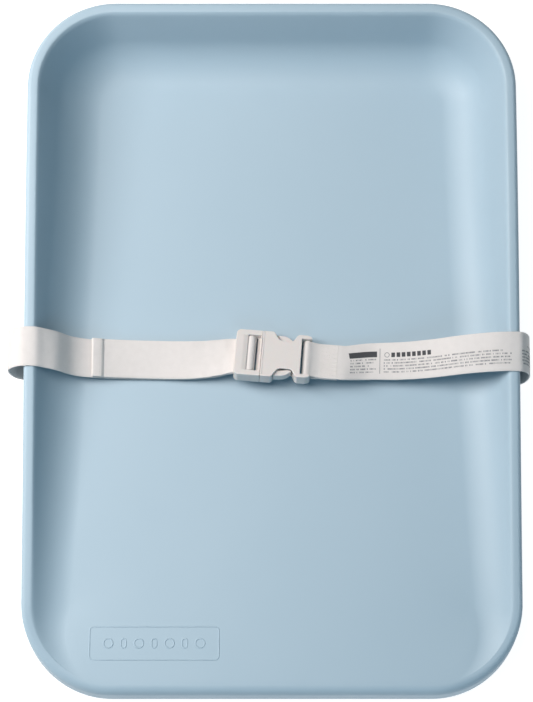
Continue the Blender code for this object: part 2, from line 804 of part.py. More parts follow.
def socket_outline():
    """Gives the socket's outline: mouth, shoulders, waist and lug."""
    half = BUCKLE_WIDTH / 2.0
    upper = [Vector((0.0, half - 0.8 * MM)), Vector((0.8 * MM, half))]
    upper += [Vector((MOUTH_LENGTH - 1.5 * MM, half)), Vector((MOUTH_LENGTH, half - 0.8 * MM))]
    upper += [Vector((MOUTH_LENGTH + 3.4 * MM, WAIST_HALF + 4.2 * MM))]
    upper += [Vector((WAIST_FROM - 1.6 * MM, WAIST_HALF + 1.0 * MM))]
    upper += [Vector((WAIST_FROM + 1.6 * MM, WAIST_HALF)), Vector((WAIST_TO - 1.2 * MM, WAIST_HALF))]
    upper += [Vector((WAIST_TO + 0.8 * MM, WAIST_HALF + 1.0 * MM))]
    upper += [Vector((LUG_FROM - 1.0 * MM, LUG_HALF - 1.4 * MM)), Vector((LUG_FROM + 1.6 * MM, LUG_HALF))]
    upper += [Vector((SOCKET_LENGTH - 4.5 * MM, LUG_HALF))]
    upper += [Vector((SOCKET_LENGTH - 1.2 * MM, LUG_HALF - 1.4 * MM))]
    upper += [Vector((SOCKET_LENGTH, LUG_HALF - 2.6 * MM))]
    lower = [Vector((p.x, -p.y)) for p in upper]
    return lower + upper[::-1]


def mouth_half_width():
    """Gives half the width of the socket's cavity."""
    return BUCKLE_WIDTH / 2.0 - MOUTH_WALL


def mouth_half_height():
    """Gives half the height of the socket's cavity."""
    return BUCKLE_THICKNESS / 2.0 - PLATE


def build_socket(frame, material):
    """Makes the socket: two plates round a cavity, side windows, ears and a bar."""
    mesh = slab("buckle_socket", socket_outline(), BUCKLE_THICKNESS / 2.0, SOCKET_EDGE)
    item = add_object("buckle_socket", mesh, material, frame.copy())
    cavity = Vector((CAVITY_END + 2.0 * MM, mouth_half_width() * 2.0, mouth_half_height() * 2.0))
    middle = place_in(frame, CAVITY_END / 2.0 - 1.0 * MM, 0.0, 0.0)
    cut(item, block("socket_cavity", cavity, middle))
    opening = WEBBING_WIDTH + 2.0 * SLOT_CLEARANCE
    slot = Vector((SOCKET_LENGTH - SLOT_AT + 4.0 * MM, opening, BUCKLE_THICKNESS * 1.2))
    middle = place_in(frame, SLOT_AT + slot.x / 2.0, 0.0, 0.0)
    cut(item, block("socket_slot", slot, middle))
    bar_place = place_in(frame, SOCKET_BAR_AT, 0.0, 0.0)
    join(item, rod("socket_end_bar", SOCKET_BAR_RADIUS, opening + 2.0 * BAR_EMBED, bar_place))
    for side in (-1.0, 1.0):
        v = side * (TONGUE_HALF + RIB_CLEARANCE + RIB_WIDTH / 2.0)
        rib = Vector((RIB_LENGTH, RIB_WIDTH, mouth_half_height() * 2.0 + PLATE / 2.0))
        name = "socket_rib_head" if side > 0 else "socket_rib_foot"
        join(item, block(name, rib, place_in(frame, RIB_AT, v, 0.0)))
    smooth(item.data)
    return item


def prong_pivot():
    """Gives the root of the head-side prong in the buckle's frame."""
    return Vector((PRONG_ARM / 2.0 + 0.5 * MM, mouth_half_width() - PRONG_ROOT_INSET))


def prong_outline():
    """Gives the head-side prong from its root: arm, press pad and tapered tip."""
    pivot = prong_pivot()
    half = PRONG_ARM / 2.0
    outer = mouth_half_width() - PRONG_GAP - pivot.y
    step_at = MOUTH_LENGTH + 1.0 * MM - pivot.x
    reach = PRONG_REACH - pivot.x
    points = [Vector((step_at - 1.2 * MM, -half)), Vector((step_at + 8.0 * MM, -half * 0.8))]
    points += [Vector((reach - 4.0 * MM, -half * 1.6)), Vector((reach - 0.6 * MM, -half * 1.3))]
    points += [Vector((reach, -half * 0.6)), Vector((reach - 4.6 * MM, outer - 2.2 * MM))]
    points += [Vector((step_at + 8.4 * MM, outer - 0.25 * MM)), Vector((step_at + 3.4 * MM, outer))]
    points += [Vector((step_at + 1.0 * MM, outer - 0.2 * MM)), Vector((step_at, outer - 1.2 * MM))]
    points += [Vector((step_at - 0.2 * MM, half + 0.3 * MM)), Vector((step_at - 1.2 * MM, half))]
    points += arc(0.0, 0.0, half, 90.0, 270.0, 8)
    return points


def build_prong(name, frame, side, material):
    """Makes one sprung prong, with its origin on its bending axis."""
    points = prong_outline()
    if side < 0:
        points = [Vector((p.x, -p.y)) for p in reversed(points)]
    half_height = mouth_half_height() - PRONG_SIDE_GAP
    mesh = slab(name, points, half_height, PRONG_EDGE)
    smooth(mesh)
    pivot = prong_pivot()
    return add_object(name, mesh, material, place_in(frame, pivot.x, side * pivot.y, 0.0))


def buckle_frame():
    """Gives the buckle's place: yawed along the strap and rolled to the foot end."""
    turn = Matrix.Rotation(BUCKLE_YAW, 4, "Z") @ Matrix.Rotation(BUCKLE_ROLL, 4, "X")
    reach_down = BUCKLE_THICKNESS / 2.0 * math.cos(BUCKLE_ROLL) - BUCKLE_WIDTH / 2.0 * math.sin(BUCKLE_ROLL)
    height = FLOOR_THICKNESS + BUCKLE_LIFT + reach_down
    return Matrix.Translation((BUCKLE_SEAM_X, BUCKLE_SEAM_Y, height)) @ turn


def main():
    """Builds the whole pad."""
    clear_scene()
    frame = buckle_frame()
    build_tray(finish("foam_skin", SKIN, 0.5))
    build_feet(finish("non_slip_rubber", FOOT_GREY, 0.8))
    build_webbing(frame, finish("webbing", WHITE_WEB, 0.85), finish("thread", THREAD_WHITE, 0.7))
    plastic = finish("buckle_plastic", WHITE_PLASTIC, 0.35)
    build_plug(frame, plastic)
    build_socket(frame, plastic)
    build_prong("prong_head_side", frame, 1, plastic)
    build_prong("prong_foot_side", frame, -1, plastic)


if __name__ == "__main__":
    main()
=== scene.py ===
"""Dresses a changing pad: a moulded foam tray with a woven strap and a side-release buckle.

Lengths are in metres. X runs to the right, Y to the head end and Z up, as in the fixed frame.
The strap and the buckle have their own frame: u along the strap, v across it and w up.
"""

import json
import logging
import math
from dataclasses import dataclass, field
from enum import Enum
from typing import Callable, Sequence

import bmesh
import bpy
import numpy as np
from mathutils import Matrix, Vector, noise
from mathutils.bvhtree import BVHTree


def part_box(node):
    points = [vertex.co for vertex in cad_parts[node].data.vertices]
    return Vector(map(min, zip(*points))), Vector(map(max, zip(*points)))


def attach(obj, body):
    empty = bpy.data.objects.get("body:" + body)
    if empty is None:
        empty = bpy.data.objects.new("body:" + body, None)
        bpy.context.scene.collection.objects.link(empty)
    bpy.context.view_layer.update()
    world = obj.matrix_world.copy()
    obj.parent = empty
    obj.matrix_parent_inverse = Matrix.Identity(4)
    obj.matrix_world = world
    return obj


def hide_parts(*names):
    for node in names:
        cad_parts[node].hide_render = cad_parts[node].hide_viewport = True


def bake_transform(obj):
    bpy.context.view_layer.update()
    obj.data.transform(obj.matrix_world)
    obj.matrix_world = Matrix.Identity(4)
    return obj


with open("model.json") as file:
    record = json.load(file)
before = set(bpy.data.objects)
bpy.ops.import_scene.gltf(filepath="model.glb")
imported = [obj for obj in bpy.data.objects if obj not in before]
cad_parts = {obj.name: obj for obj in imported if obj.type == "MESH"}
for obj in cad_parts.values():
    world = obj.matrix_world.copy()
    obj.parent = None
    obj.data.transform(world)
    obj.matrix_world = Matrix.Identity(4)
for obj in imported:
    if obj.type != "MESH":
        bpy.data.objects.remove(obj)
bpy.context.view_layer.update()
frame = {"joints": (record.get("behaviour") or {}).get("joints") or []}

LOG = logging.getLogger("changing_pad")
MM = 0.001
GAP = 0.3 * MM
Pair = tuple[float, float]
Pair3 = tuple[float, float, float]
Colour = tuple[float, float, float]


class Body(str, Enum):
    """The frame's bodies that pieces ride on."""

    PAD = "pad"
    SOCKET = "socket"
    PRONG_HEAD = "prong_head"
    PRONG_FOOT = "prong_foot"


class Slot(str, Enum):
    """The record's material slots."""

    SKIN = "foam_skin"
    RUBBER = "non_slip_rubber"
    WEBBING = "webbing"
    THREAD = "thread"
    PLASTIC = "buckle_plastic"


class Mark(Enum):
    """The shape that is repeated along a path."""

    STITCH = "stitch"
    BAR = "bar"


# Finishes -----------------------------------------------------------------------


class ShaderTree:
    """A material's node tree, with short calls that add nodes and join them."""

    def __init__(self, name: str) -> None:
        """Starts a material with one Principled shader.

        Args:
            name: the material's name.
        """
        self.material = bpy.data.materials.new(name)
        self.material.use_nodes = True
        self.tree = self.material.node_tree
        self.shader = self.tree.nodes["Principled BSDF"]

    def add(self, kind: str, **values: object) -> bpy.types.Node:
        """Adds a node and sets its properties.

        Args:
            kind: the node's type, without its "ShaderNode" start.
            values: properties of the node.

        Returns:
            The new node.
        """
        node = self.tree.nodes.new("ShaderNode" + kind)
        for key, value in values.items():
            setattr(node, key, value)
        return node

    def join(self, output: bpy.types.NodeSocket, target: bpy.types.NodeSocket) -> None:
        """Links an output to an input."""
        self.tree.links.new(output, target)

    def math(self, operation: str, first: object, second: object = 0.0) -> bpy.types.NodeSocket:
        """Adds a Math node on sockets or numbers.

        Args:
            operation: the Math node's operation.
            first: a socket or a number.
            second: a socket or a number.

        Returns:
            The node's result.
        """
        node = self.add("Math", operation=operation)
        for place, value in zip(node.inputs, (first, second)):
            if isinstance(value, (int, float)):
                place.default_value = value
            else:
                self.join(value, place)
        return node.outputs[0]

    def coordinates(self, uv_map: str = "") -> bpy.types.NodeSocket:
        """Gives the piece's own coordinates, or one of its UV maps."""
        if uv_map:
            return self.add("UVMap", uv_map=uv_map).outputs["UV"]
        return self.add("TexCoord").outputs["Object"]

    def noise(self, scale: float, detail: float = 3.0, uv_map: str = "") -> bpy.types.NodeSocket:
        """Adds a Noise texture.

        Args:
            scale: repeats in a metre.
            detail: how fine its grain goes.
            uv_map: the UV map it lies on, or the piece's own coordinates where it is empty.

        Returns:
            The noise, from 0 to 1.
        """
        node = self.add("TexNoise")
        node.inputs["Scale"].default_value = scale
        node.inputs["Detail"].default_value = detail
        self.join(self.coordinates(uv_map), node.inputs["Vector"])
        return node.outputs["Fac"]

    def ramp(self, value: bpy.types.NodeSocket, low: float, high: float) -> bpy.types.NodeSocket:
        """Stretches a value that goes from 0 to 1 between two numbers.

        Args:
            value: the socket to stretch.
            low: what 0 becomes.
            high: what 1 becomes.

        Returns:
            The stretched value.
        """
        node = self.add("MapRange")
        node.inputs["To Min"].default_value = low
        node.inputs["To Max"].default_value = high
        self.join(value, node.inputs["Value"])
        return node.outputs["Result"]

    def tint(self, value: bpy.types.NodeSocket, first: Colour, second: Colour) -> None:
        """Paints the base colour between two colours.

        Args:
            value: 0 for the first colour and 1 for the second.
            first: a linear colour.
            second: a linear colour.
        """
        node = self.add("Mix", data_type="RGBA")
        node.inputs[6].default_value = (*first, 1.0)
        node.inputs[7].default_value = (*second, 1.0)
        self.join(value, node.inputs["Factor"])
        self.join(node.outputs[2], self.shader.inputs["Base Color"])

    def bump(self, layers: Sequence[tuple[bpy.types.NodeSocket, float, float]]) -> None:
        """Stacks bump layers on the shader.

        Args:
            layers: for each layer its height, its strength and its depth in metres.
        """
        before = None
        for height, strength, depth in layers:
            node = self.add("Bump")
            node.inputs["Strength"].default_value = strength
            node.inputs["Distance"].default_value = depth
            self.join(height, node.inputs["Height"])
            if before is not None:
                self.join(before, node.inputs["Normal"])
            before = node.outputs["Normal"]
        self.join(before, self.shader.inputs["Normal"])


@dataclass(frozen=True)
class FoamSkin:
    """The closed skin of moulded foam: satin, with a very fine leathery grain."""

    colour: Colour = (0.364, 0.468, 0.540)
    deep: Colour = (0.346, 0.452, 0.526)
    roughness: Pair = (0.46, 0.54)
    specular: float = 0.42
    grain: float = 1500.0
    grain_depth: float = 0.05 * MM
    flow: float = 9.0
    flow_depth: float = 0.6 * MM

    def material(self) -> bpy.types.Material:
        """Makes the material."""
        tree = ShaderTree("foam_skin")
        drift = tree.noise(self.flow, 2.0)
        grain = tree.noise(self.grain, 2.0)
        tree.tint(drift, self.colour, self.deep)
        tree.join(tree.ramp(drift, *self.roughness), tree.shader.inputs["Roughness"])
        tree.shader.inputs["Specular IOR Level"].default_value = self.specular
        tree.bump([(drift, 0.3, self.flow_depth), (grain, 0.25, self.grain_depth)])
        return tree.material


@dataclass(frozen=True)
class Weave:
    """Tightly woven polyester webbing, read along and across the band from its UV map."""

    colour: Colour = (0.755, 0.712, 0.690)
    # shade: the darker colour that the weave's low parts are painted towards as painted shade; the soil's
    # real dirt leans to it too
    shade: Colour = (0.600, 0.562, 0.540)
    warp: float = 0.95 * MM
    weft: float = 1.25 * MM
    weave_depth: float = 0.22 * MM
    fibre: float = 2600.0
    fibre_depth: float = 0.06 * MM
    soil: float = 160.0
    roughness: Pair = (0.82, 0.98)
    specular: float = 0.22
    sheen: float = 0.12
    sheen_roughness: float = 0.45
    uv_map: str = "weave"

    def material(self) -> bpy.types.Material:
        """Makes the material."""
        tree = ShaderTree("woven_webbing")
        place = tree.add("SeparateXYZ")
        tree.join(tree.coordinates(self.uv_map), place.inputs[0])
        along = tree.math("MULTIPLY", place.outputs["X"], 2.0 * math.pi / self.weft)
        across = tree.math("MULTIPLY", place.outputs["Y"], math.pi / self.warp)
        over = tree.math("MULTIPLY", tree.math("SINE", along), tree.math("SINE", across))
        rib = tree.math("ABSOLUTE", tree.math("SINE", across))
        height = tree.math("ADD", tree.math("MULTIPLY", over, 0.5), rib)
        fibre = tree.noise(self.fibre, 2.0, self.uv_map)
        soil = tree.noise(self.soil, 3.0)
        # Painted shade: the weave's low parts are painted darker, towards the shade colour, where shade
        # would fall between the yarns; the soil noise adds real dirt on top.
        painted_weave_shade = tree.math("MULTIPLY", tree.math("SUBTRACT", 1.25, height), 0.35)
        tree.tint(tree.math("ADD", painted_weave_shade, tree.math("MULTIPLY", soil, 0.4)), self.colour, self.shade)
        tree.join(tree.ramp(fibre, *self.roughness), tree.shader.inputs["Roughness"])
        tree.shader.inputs["Sheen Weight"].default_value = self.sheen
        tree.shader.inputs["Sheen Roughness"].default_value = self.sheen_roughness
        tree.shader.inputs["Specular IOR Level"].default_value = self.specular
        tree.bump([(height, 0.75, self.weave_depth), (fibre, 0.4, self.fibre_depth)])
        return tree.material


@dataclass(frozen=True)
class Moulded:
    """Smooth moulded acetal: warm white, half glossy, with faint flow marks."""

    name: str = "moulded_acetal"
    colour: Colour = (0.664, 0.618, 0.592)
    deep: Colour = (0.634, 0.590, 0.564)
    gloss: Pair = (0.26, 0.40)
    flow: float = 70.0
    flow_depth: float = 0.2 * MM
    grain: float = 1900.0
    grain_depth: float = 0.03 * MM
    glow: float = 0.08
    glow_depth: float = 1.2 * MM

    def material(self) -> bpy.types.Material:
        """Makes the material."""
        tree = ShaderTree(self.name)
        flow = tree.noise(self.flow, 3.0)
        grain = tree.noise(self.grain, 2.0)
        tree.tint(flow, self.colour, self.deep)
        tree.join(tree.ramp(flow, *self.gloss), tree.shader.inputs["Roughness"])
        tree.shader.inputs["Subsurface Weight"].default_value = self.glow
        tree.shader.inputs["Subsurface Scale"].default_value = self.glow_depth
        tree.bump([(flow, 0.12, self.flow_depth), (grain, 0.15, self.grain_depth)])
        return tree.material


@dataclass(frozen=True)
class Fibre:
    """A matt finish with a fine broken grain: thread, ink on cloth, or grip rubber."""

    name: str
    colour: Colour
    deep: Colour
    roughness: Pair
    scale: float
    depth: float
    specular: float = 0.3

    def material(self) -> bpy.types.Material:
        """Makes the material."""
        tree = ShaderTree(self.name)
        grain = tree.noise(self.scale, 4.0)
        tree.tint(grain, self.colour, self.deep)
        tree.join(tree.ramp(grain, *self.roughness), tree.shader.inputs["Roughness"])
        tree.shader.inputs["Specular IOR Level"].default_value = self.specular
        tree.bump([(grain, 0.6, self.depth)])
        return tree.material


THREAD = Fibre("sewing_thread", (0.86, 0.83, 0.80), (0.52, 0.49, 0.46), (0.6, 0.85), 2400.0, 0.1 * MM)
DARK_INK = Fibre("dark_ink", (0.030, 0.030, 0.034), (0.085, 0.085, 0.090), (0.6, 0.9), 1300.0, 0.03 * MM)
GREY_INK = Fibre("grey_ink", (0.150, 0.150, 0.160), (0.330, 0.325, 0.330), (0.6, 0.9), 1300.0, 0.03 * MM)
RUBBER = Fibre("grip_rubber", (0.46, 0.48, 0.49), (0.36, 0.38, 0.39), (0.75, 0.95), 1500.0, 0.12 * MM)


# Meshes -------------------------------------------------------------------------


def ease(t: float) -> float:
    """Goes from 0 to 1 with level ends."""
    t = min(max(t, 0.0), 1.0)
    return t * t * (3.0 - 2.0 * t)


def mesh_from(name: str, rows: Sequence[Vector], faces: Sequence[tuple[int, ...]]) -> bpy.types.Mesh:
    """Makes a closed mesh with its faces turned outward.

    Args:
        name: the mesh's name.
        rows: its points.
        faces: its faces, as indices of points.

    Returns:
        The mesh.
    """
    mesh = bpy.data.meshes.new(name)
    mesh.from_pydata([tuple(p) for p in rows], [], faces)
    work = bmesh.new()
    work.from_mesh(mesh)
    bmesh.ops.recalc_face_normals(work, faces=work.faces)
    if work.calc_volume(signed=True) < 0.0:
        bmesh.ops.reverse_faces(work, faces=work.faces)
    work.to_mesh(mesh)
    work.free()
    return mesh


def loft(name: str, rings: Sequence[Sequence[Vector]], closed: bool = False) -> bpy.types.Mesh:
    """Joins rings of equal length into one skin.

    Args:
        name: the mesh's name.
        rings: the rings, in order.
        closed: True where the last ring meets the first, and False for capped ends.

    Returns:
        The mesh.
    """
    count = len(rings[0])
    rows = [p for ring in rings for p in ring]
    faces: list[tuple[int, ...]] = []
    spans = len(rings) if closed else len(rings) - 1
    for r in range(spans):
        following = (r + 1) % len(rings)
        for k in range(count):
            after = (k + 1) % count
            low, high = r * count, following * count
            faces.append((low + k, low + after, high + after, high + k))
    if not closed:
        last = (len(rings) - 1) * count
        faces.append(tuple(range(count)))
        faces.append(tuple(range(last, last + count)))
    return mesh_from(name, rows, faces)


def add_object(
    name: str, mesh: bpy.types.Mesh, material: bpy.types.Material | None = None
) -> bpy.types.Object:
    """Puts a mesh in the scene.

    Args:
        name: the object's name.
        mesh: its mesh, already in place.
        material: its material, or None for a working shape.

    Returns:
        The object.
    """
    item = bpy.data.objects.new(name, mesh)
    bpy.context.scene.collection.objects.link(item)
    if material is not None:
        mesh.materials.clear()
        mesh.materials.append(material)
    return item


def settle(item: bpy.types.Object) -> bpy.types.Object:
    """Turns an object's modifiers into a plain mesh of its own.

    Args:
        item: the object.

    Returns:
        The same object, without modifiers.
    """
    bpy.context.view_layer.update()
    graph = bpy.context.evaluated_depsgraph_get()
    mesh = bpy.data.meshes.new_from_object(item.evaluated_get(graph))
    item.modifiers.clear()
    item.data = mesh
    mesh.name = item.name
    return item


def shade(mesh: bpy.types.Mesh, degrees: float) -> None:
    """Shades a mesh smooth, with edges kept sharp past an angle."""
    mesh.shade_smooth()
    mesh.set_sharp_from_angle(angle=math.radians(degrees))


def block(name: str, size: Vector, matrix: Matrix) -> bpy.types.Object:
    """Makes a plain block, used as a cutter or joined to a piece.

    Args:
        name: the object's name.
        size: its three sides.
        matrix: its place.

    Returns:
        The block.
    """
    mesh = bpy.data.meshes.new(name)
    work = bmesh.new()
    bmesh.ops.create_cube(work, size=1.0, matrix=matrix @ Matrix.Diagonal((*size, 1.0)))
    work.to_mesh(mesh)
    work.free()
    return add_object(name, mesh)


def rod(name: str, radius: float, length: float, matrix: Matrix) -> bpy.types.Object:
    """Makes a rod that lies across the strap.

    Args:
        name: the object's name.
        radius: its radius.
        length: its length.
        matrix: its place.

    Returns:
        The rod.
    """
    mesh = bpy.data.meshes.new(name)
    work = bmesh.new()
    turn = matrix @ Matrix.Rotation(math.pi / 2.0, 4, "X")
    bmesh.ops.create_cone(
        work, cap_ends=True, segments=48, radius1=radius, radius2=radius, depth=length, matrix=turn
    )
    work.to_mesh(mesh)
    work.free()
    return add_object(name, mesh)


def combine(item: bpy.types.Object, tool: bpy.types.Object, operation: str) -> None:
    """Cuts a tool out of a piece or joins it on, then removes the tool.

    Args:
        item: the piece.
        tool: the other shape.
        operation: "DIFFERENCE" or "UNION".
    """
    modifier = item.modifiers.new(tool.name, "BOOLEAN")
    modifier.operation = operation
    modifier.object = tool
    modifier.solver = "EXACT"
    settle(item)
    bpy.data.objects.remove(tool, do_unlink=True)


def hand_over(item: bpy.types.Object, body: Body, slot: Slot, *nodes: str) -> bpy.types.Object:
    """Makes a finished piece ride on a body and stand for its nodes.

    Args:
        item: the piece.
        body: the body it moves with.
        slot: the record's slot of its finish; not used.
        nodes: the plain solids that it stands for.

    Returns:
        The piece.
    """
    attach(item, body.value)
    if nodes:
        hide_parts(*nodes)
    LOG.info("%s: %d faces, rides on %s", item.name, len(item.data.polygons), body.value)
    return item


# Repeats along a path -----------------------------------------------------------

FACING = "facing"


@dataclass
class Path:
    """Points on a surface, with the direction away from that surface at each."""

    points: list[Vector] = field(default_factory=list)
    facings: list[Vector] = field(default_factory=list)

    def add(self, point: Vector, facing: Vector) -> None:
        """Adds one point."""
        self.points.append(point)
        self.facings.append(facing)


@dataclass
class RepeatRow:
    """A small shape repeated along paths by Geometry Nodes."""

    name: str
    mark: Mark
    pitch: float
    size: Vector
    material: bpy.types.Material
    spread: float = 0.0
    kept: float = 1.0
    seed: int = 7

    def _tree(self) -> bpy.types.NodeTree:
        """Builds the node tree, with a named input for each size."""
        tree = bpy.data.node_groups.new(self.name + "_repeat", "GeometryNodeTree")
        inputs = {"Geometry": "Geometry", "Pitch": "Float", "Size": "Vector", "Spread": "Float"}
        inputs |= {"Kept Share": "Float", "Seed": "Int", "Material": "Material"}
        for name, kind in inputs.items():
            tree.interface.new_socket(name, in_out="INPUT", socket_type="NodeSocket" + kind)
        tree.interface.new_socket("Geometry", in_out="OUTPUT", socket_type="NodeSocketGeometry")
        self._wire(tree)
        return tree

    def _shape(self, tree: bpy.types.NodeTree) -> bpy.types.NodeSocket:
        """Adds the node that makes one repeat, a metre long each way."""
        if self.mark is Mark.STITCH:
            ball = tree.nodes.new("GeometryNodeMeshUVSphere")
            ball.inputs["Segments"].default_value = 8
            ball.inputs["Rings"].default_value = 5
            ball.inputs["Radius"].default_value = 0.5
            return ball.outputs["Mesh"]
        return tree.nodes.new("GeometryNodeMeshCube").outputs["Mesh"]

    def _wire(self, tree: bpy.types.NodeTree) -> None:
        """Adds the nodes and joins them.

        Args:
            tree: the tree with its inputs and output.
        """
        add, link = tree.nodes.new, tree.links.new
        given, result = add("NodeGroupInput"), add("NodeGroupOutput")
        curve, points = add("GeometryNodeMeshToCurve"), add("GeometryNodeCurveToPoints")
        points.mode = "LENGTH"
        facing = add("GeometryNodeInputNamedAttribute")
        facing.data_type = "FLOAT_VECTOR"
        facing.inputs["Name"].default_value = FACING
        turn = add("FunctionNodeAxesToRotation")
        turn.primary_axis, turn.secondary_axis = "Z", "X"
        resize, place = add("GeometryNodeTransform"), add("GeometryNodeInstanceOnPoints")
        less, more = add("ShaderNodeMath"), add("ShaderNodeMath")
        less.operation, more.operation = "SUBTRACT", "ADD"
        less.inputs[0].default_value, more.inputs[0].default_value = 1.0, 1.0
        stretch, choose = add("FunctionNodeRandomValue"), add("FunctionNodeRandomValue")
        choose.data_type = "BOOLEAN"
        scale = add("ShaderNodeCombineXYZ")
        scale.inputs["Y"].default_value, scale.inputs["Z"].default_value = 1.0, 1.0
        whole, smooth = add("GeometryNodeRealizeInstances"), add("GeometryNodeSetShadeSmooth")
        smooth.inputs["Shade Smooth"].default_value = self.mark is Mark.STITCH
        dress = add("GeometryNodeSetMaterial")
        link(given.outputs["Geometry"], curve.inputs["Mesh"])
        link(curve.outputs["Curve"], points.inputs["Curve"])
        link(given.outputs["Pitch"], points.inputs["Length"])
        link(facing.outputs["Attribute"], turn.inputs["Primary Axis"])
        link(points.outputs["Tangent"], turn.inputs["Secondary Axis"])
        link(self._shape(tree), resize.inputs["Geometry"])
        link(given.outputs["Size"], resize.inputs["Scale"])
        link(given.outputs["Spread"], less.inputs[1])
        link(given.outputs["Spread"], more.inputs[1])
        link(less.outputs[0], stretch.inputs[2])
        link(more.outputs[0], stretch.inputs[3])
        link(stretch.outputs[1], scale.inputs["X"])
        link(given.outputs["Kept Share"], choose.inputs["Probability"])
        for random in (stretch, choose):
            link(given.outputs["Seed"], random.inputs["Seed"])
        link(points.outputs["Points"], place.inputs["Points"])
        link(choose.outputs[3], place.inputs["Selection"])
        link(resize.outputs["Geometry"], place.inputs["Instance"])
        link(turn.outputs["Rotation"], place.inputs["Rotation"])
        link(scale.outputs["Vector"], place.inputs["Scale"])
        link(place.outputs["Instances"], whole.inputs["Geometry"])
        link(whole.outputs["Geometry"], smooth.inputs["Geometry"])
        link(smooth.outputs["Geometry"], dress.inputs["Geometry"])
        link(given.outputs["Material"], dress.inputs["Material"])
        link(dress.outputs["Geometry"], result.inputs["Geometry"])

    def build(self, paths: Sequence[Path]) -> bpy.types.Object:
        """Repeats the shape along paths.

        Args:
            paths: the paths, each on its own.

        Returns:
            One object with every repeat in its mesh.
        """
        rows = [p for path in paths for p in path.points]
        edges, start = [], 0
        for path in paths:
            edges += [(start + k, start + k + 1) for k in range(len(path.points) - 1)]
            start += len(path.points)
        mesh = bpy.data.meshes.new(self.name)
        mesh.from_pydata([tuple(p) for p in rows], edges, [])
        facing = mesh.attributes.new(FACING, "FLOAT_VECTOR", "POINT")
        for k, direction in enumerate(d for path in paths for d in path.facings):
            facing.data[k].vector = direction
        item = add_object(self.name, mesh)
        modifier = item.modifiers.new("repeat", "NODES")
        modifier.node_group = self._tree()
        values = {"Pitch": self.pitch, "Size": tuple(self.size), "Spread": self.spread}
        values |= {"Kept Share": self.kept, "Seed": self.seed, "Material": self.material}
        for entry in modifier.node_group.interface.items_tree:
            if entry.in_out == "INPUT" and entry.name in values:
                modifier[entry.identifier] = values[entry.name]
        return settle(item)


# The tray -----------------------------------------------------------------------


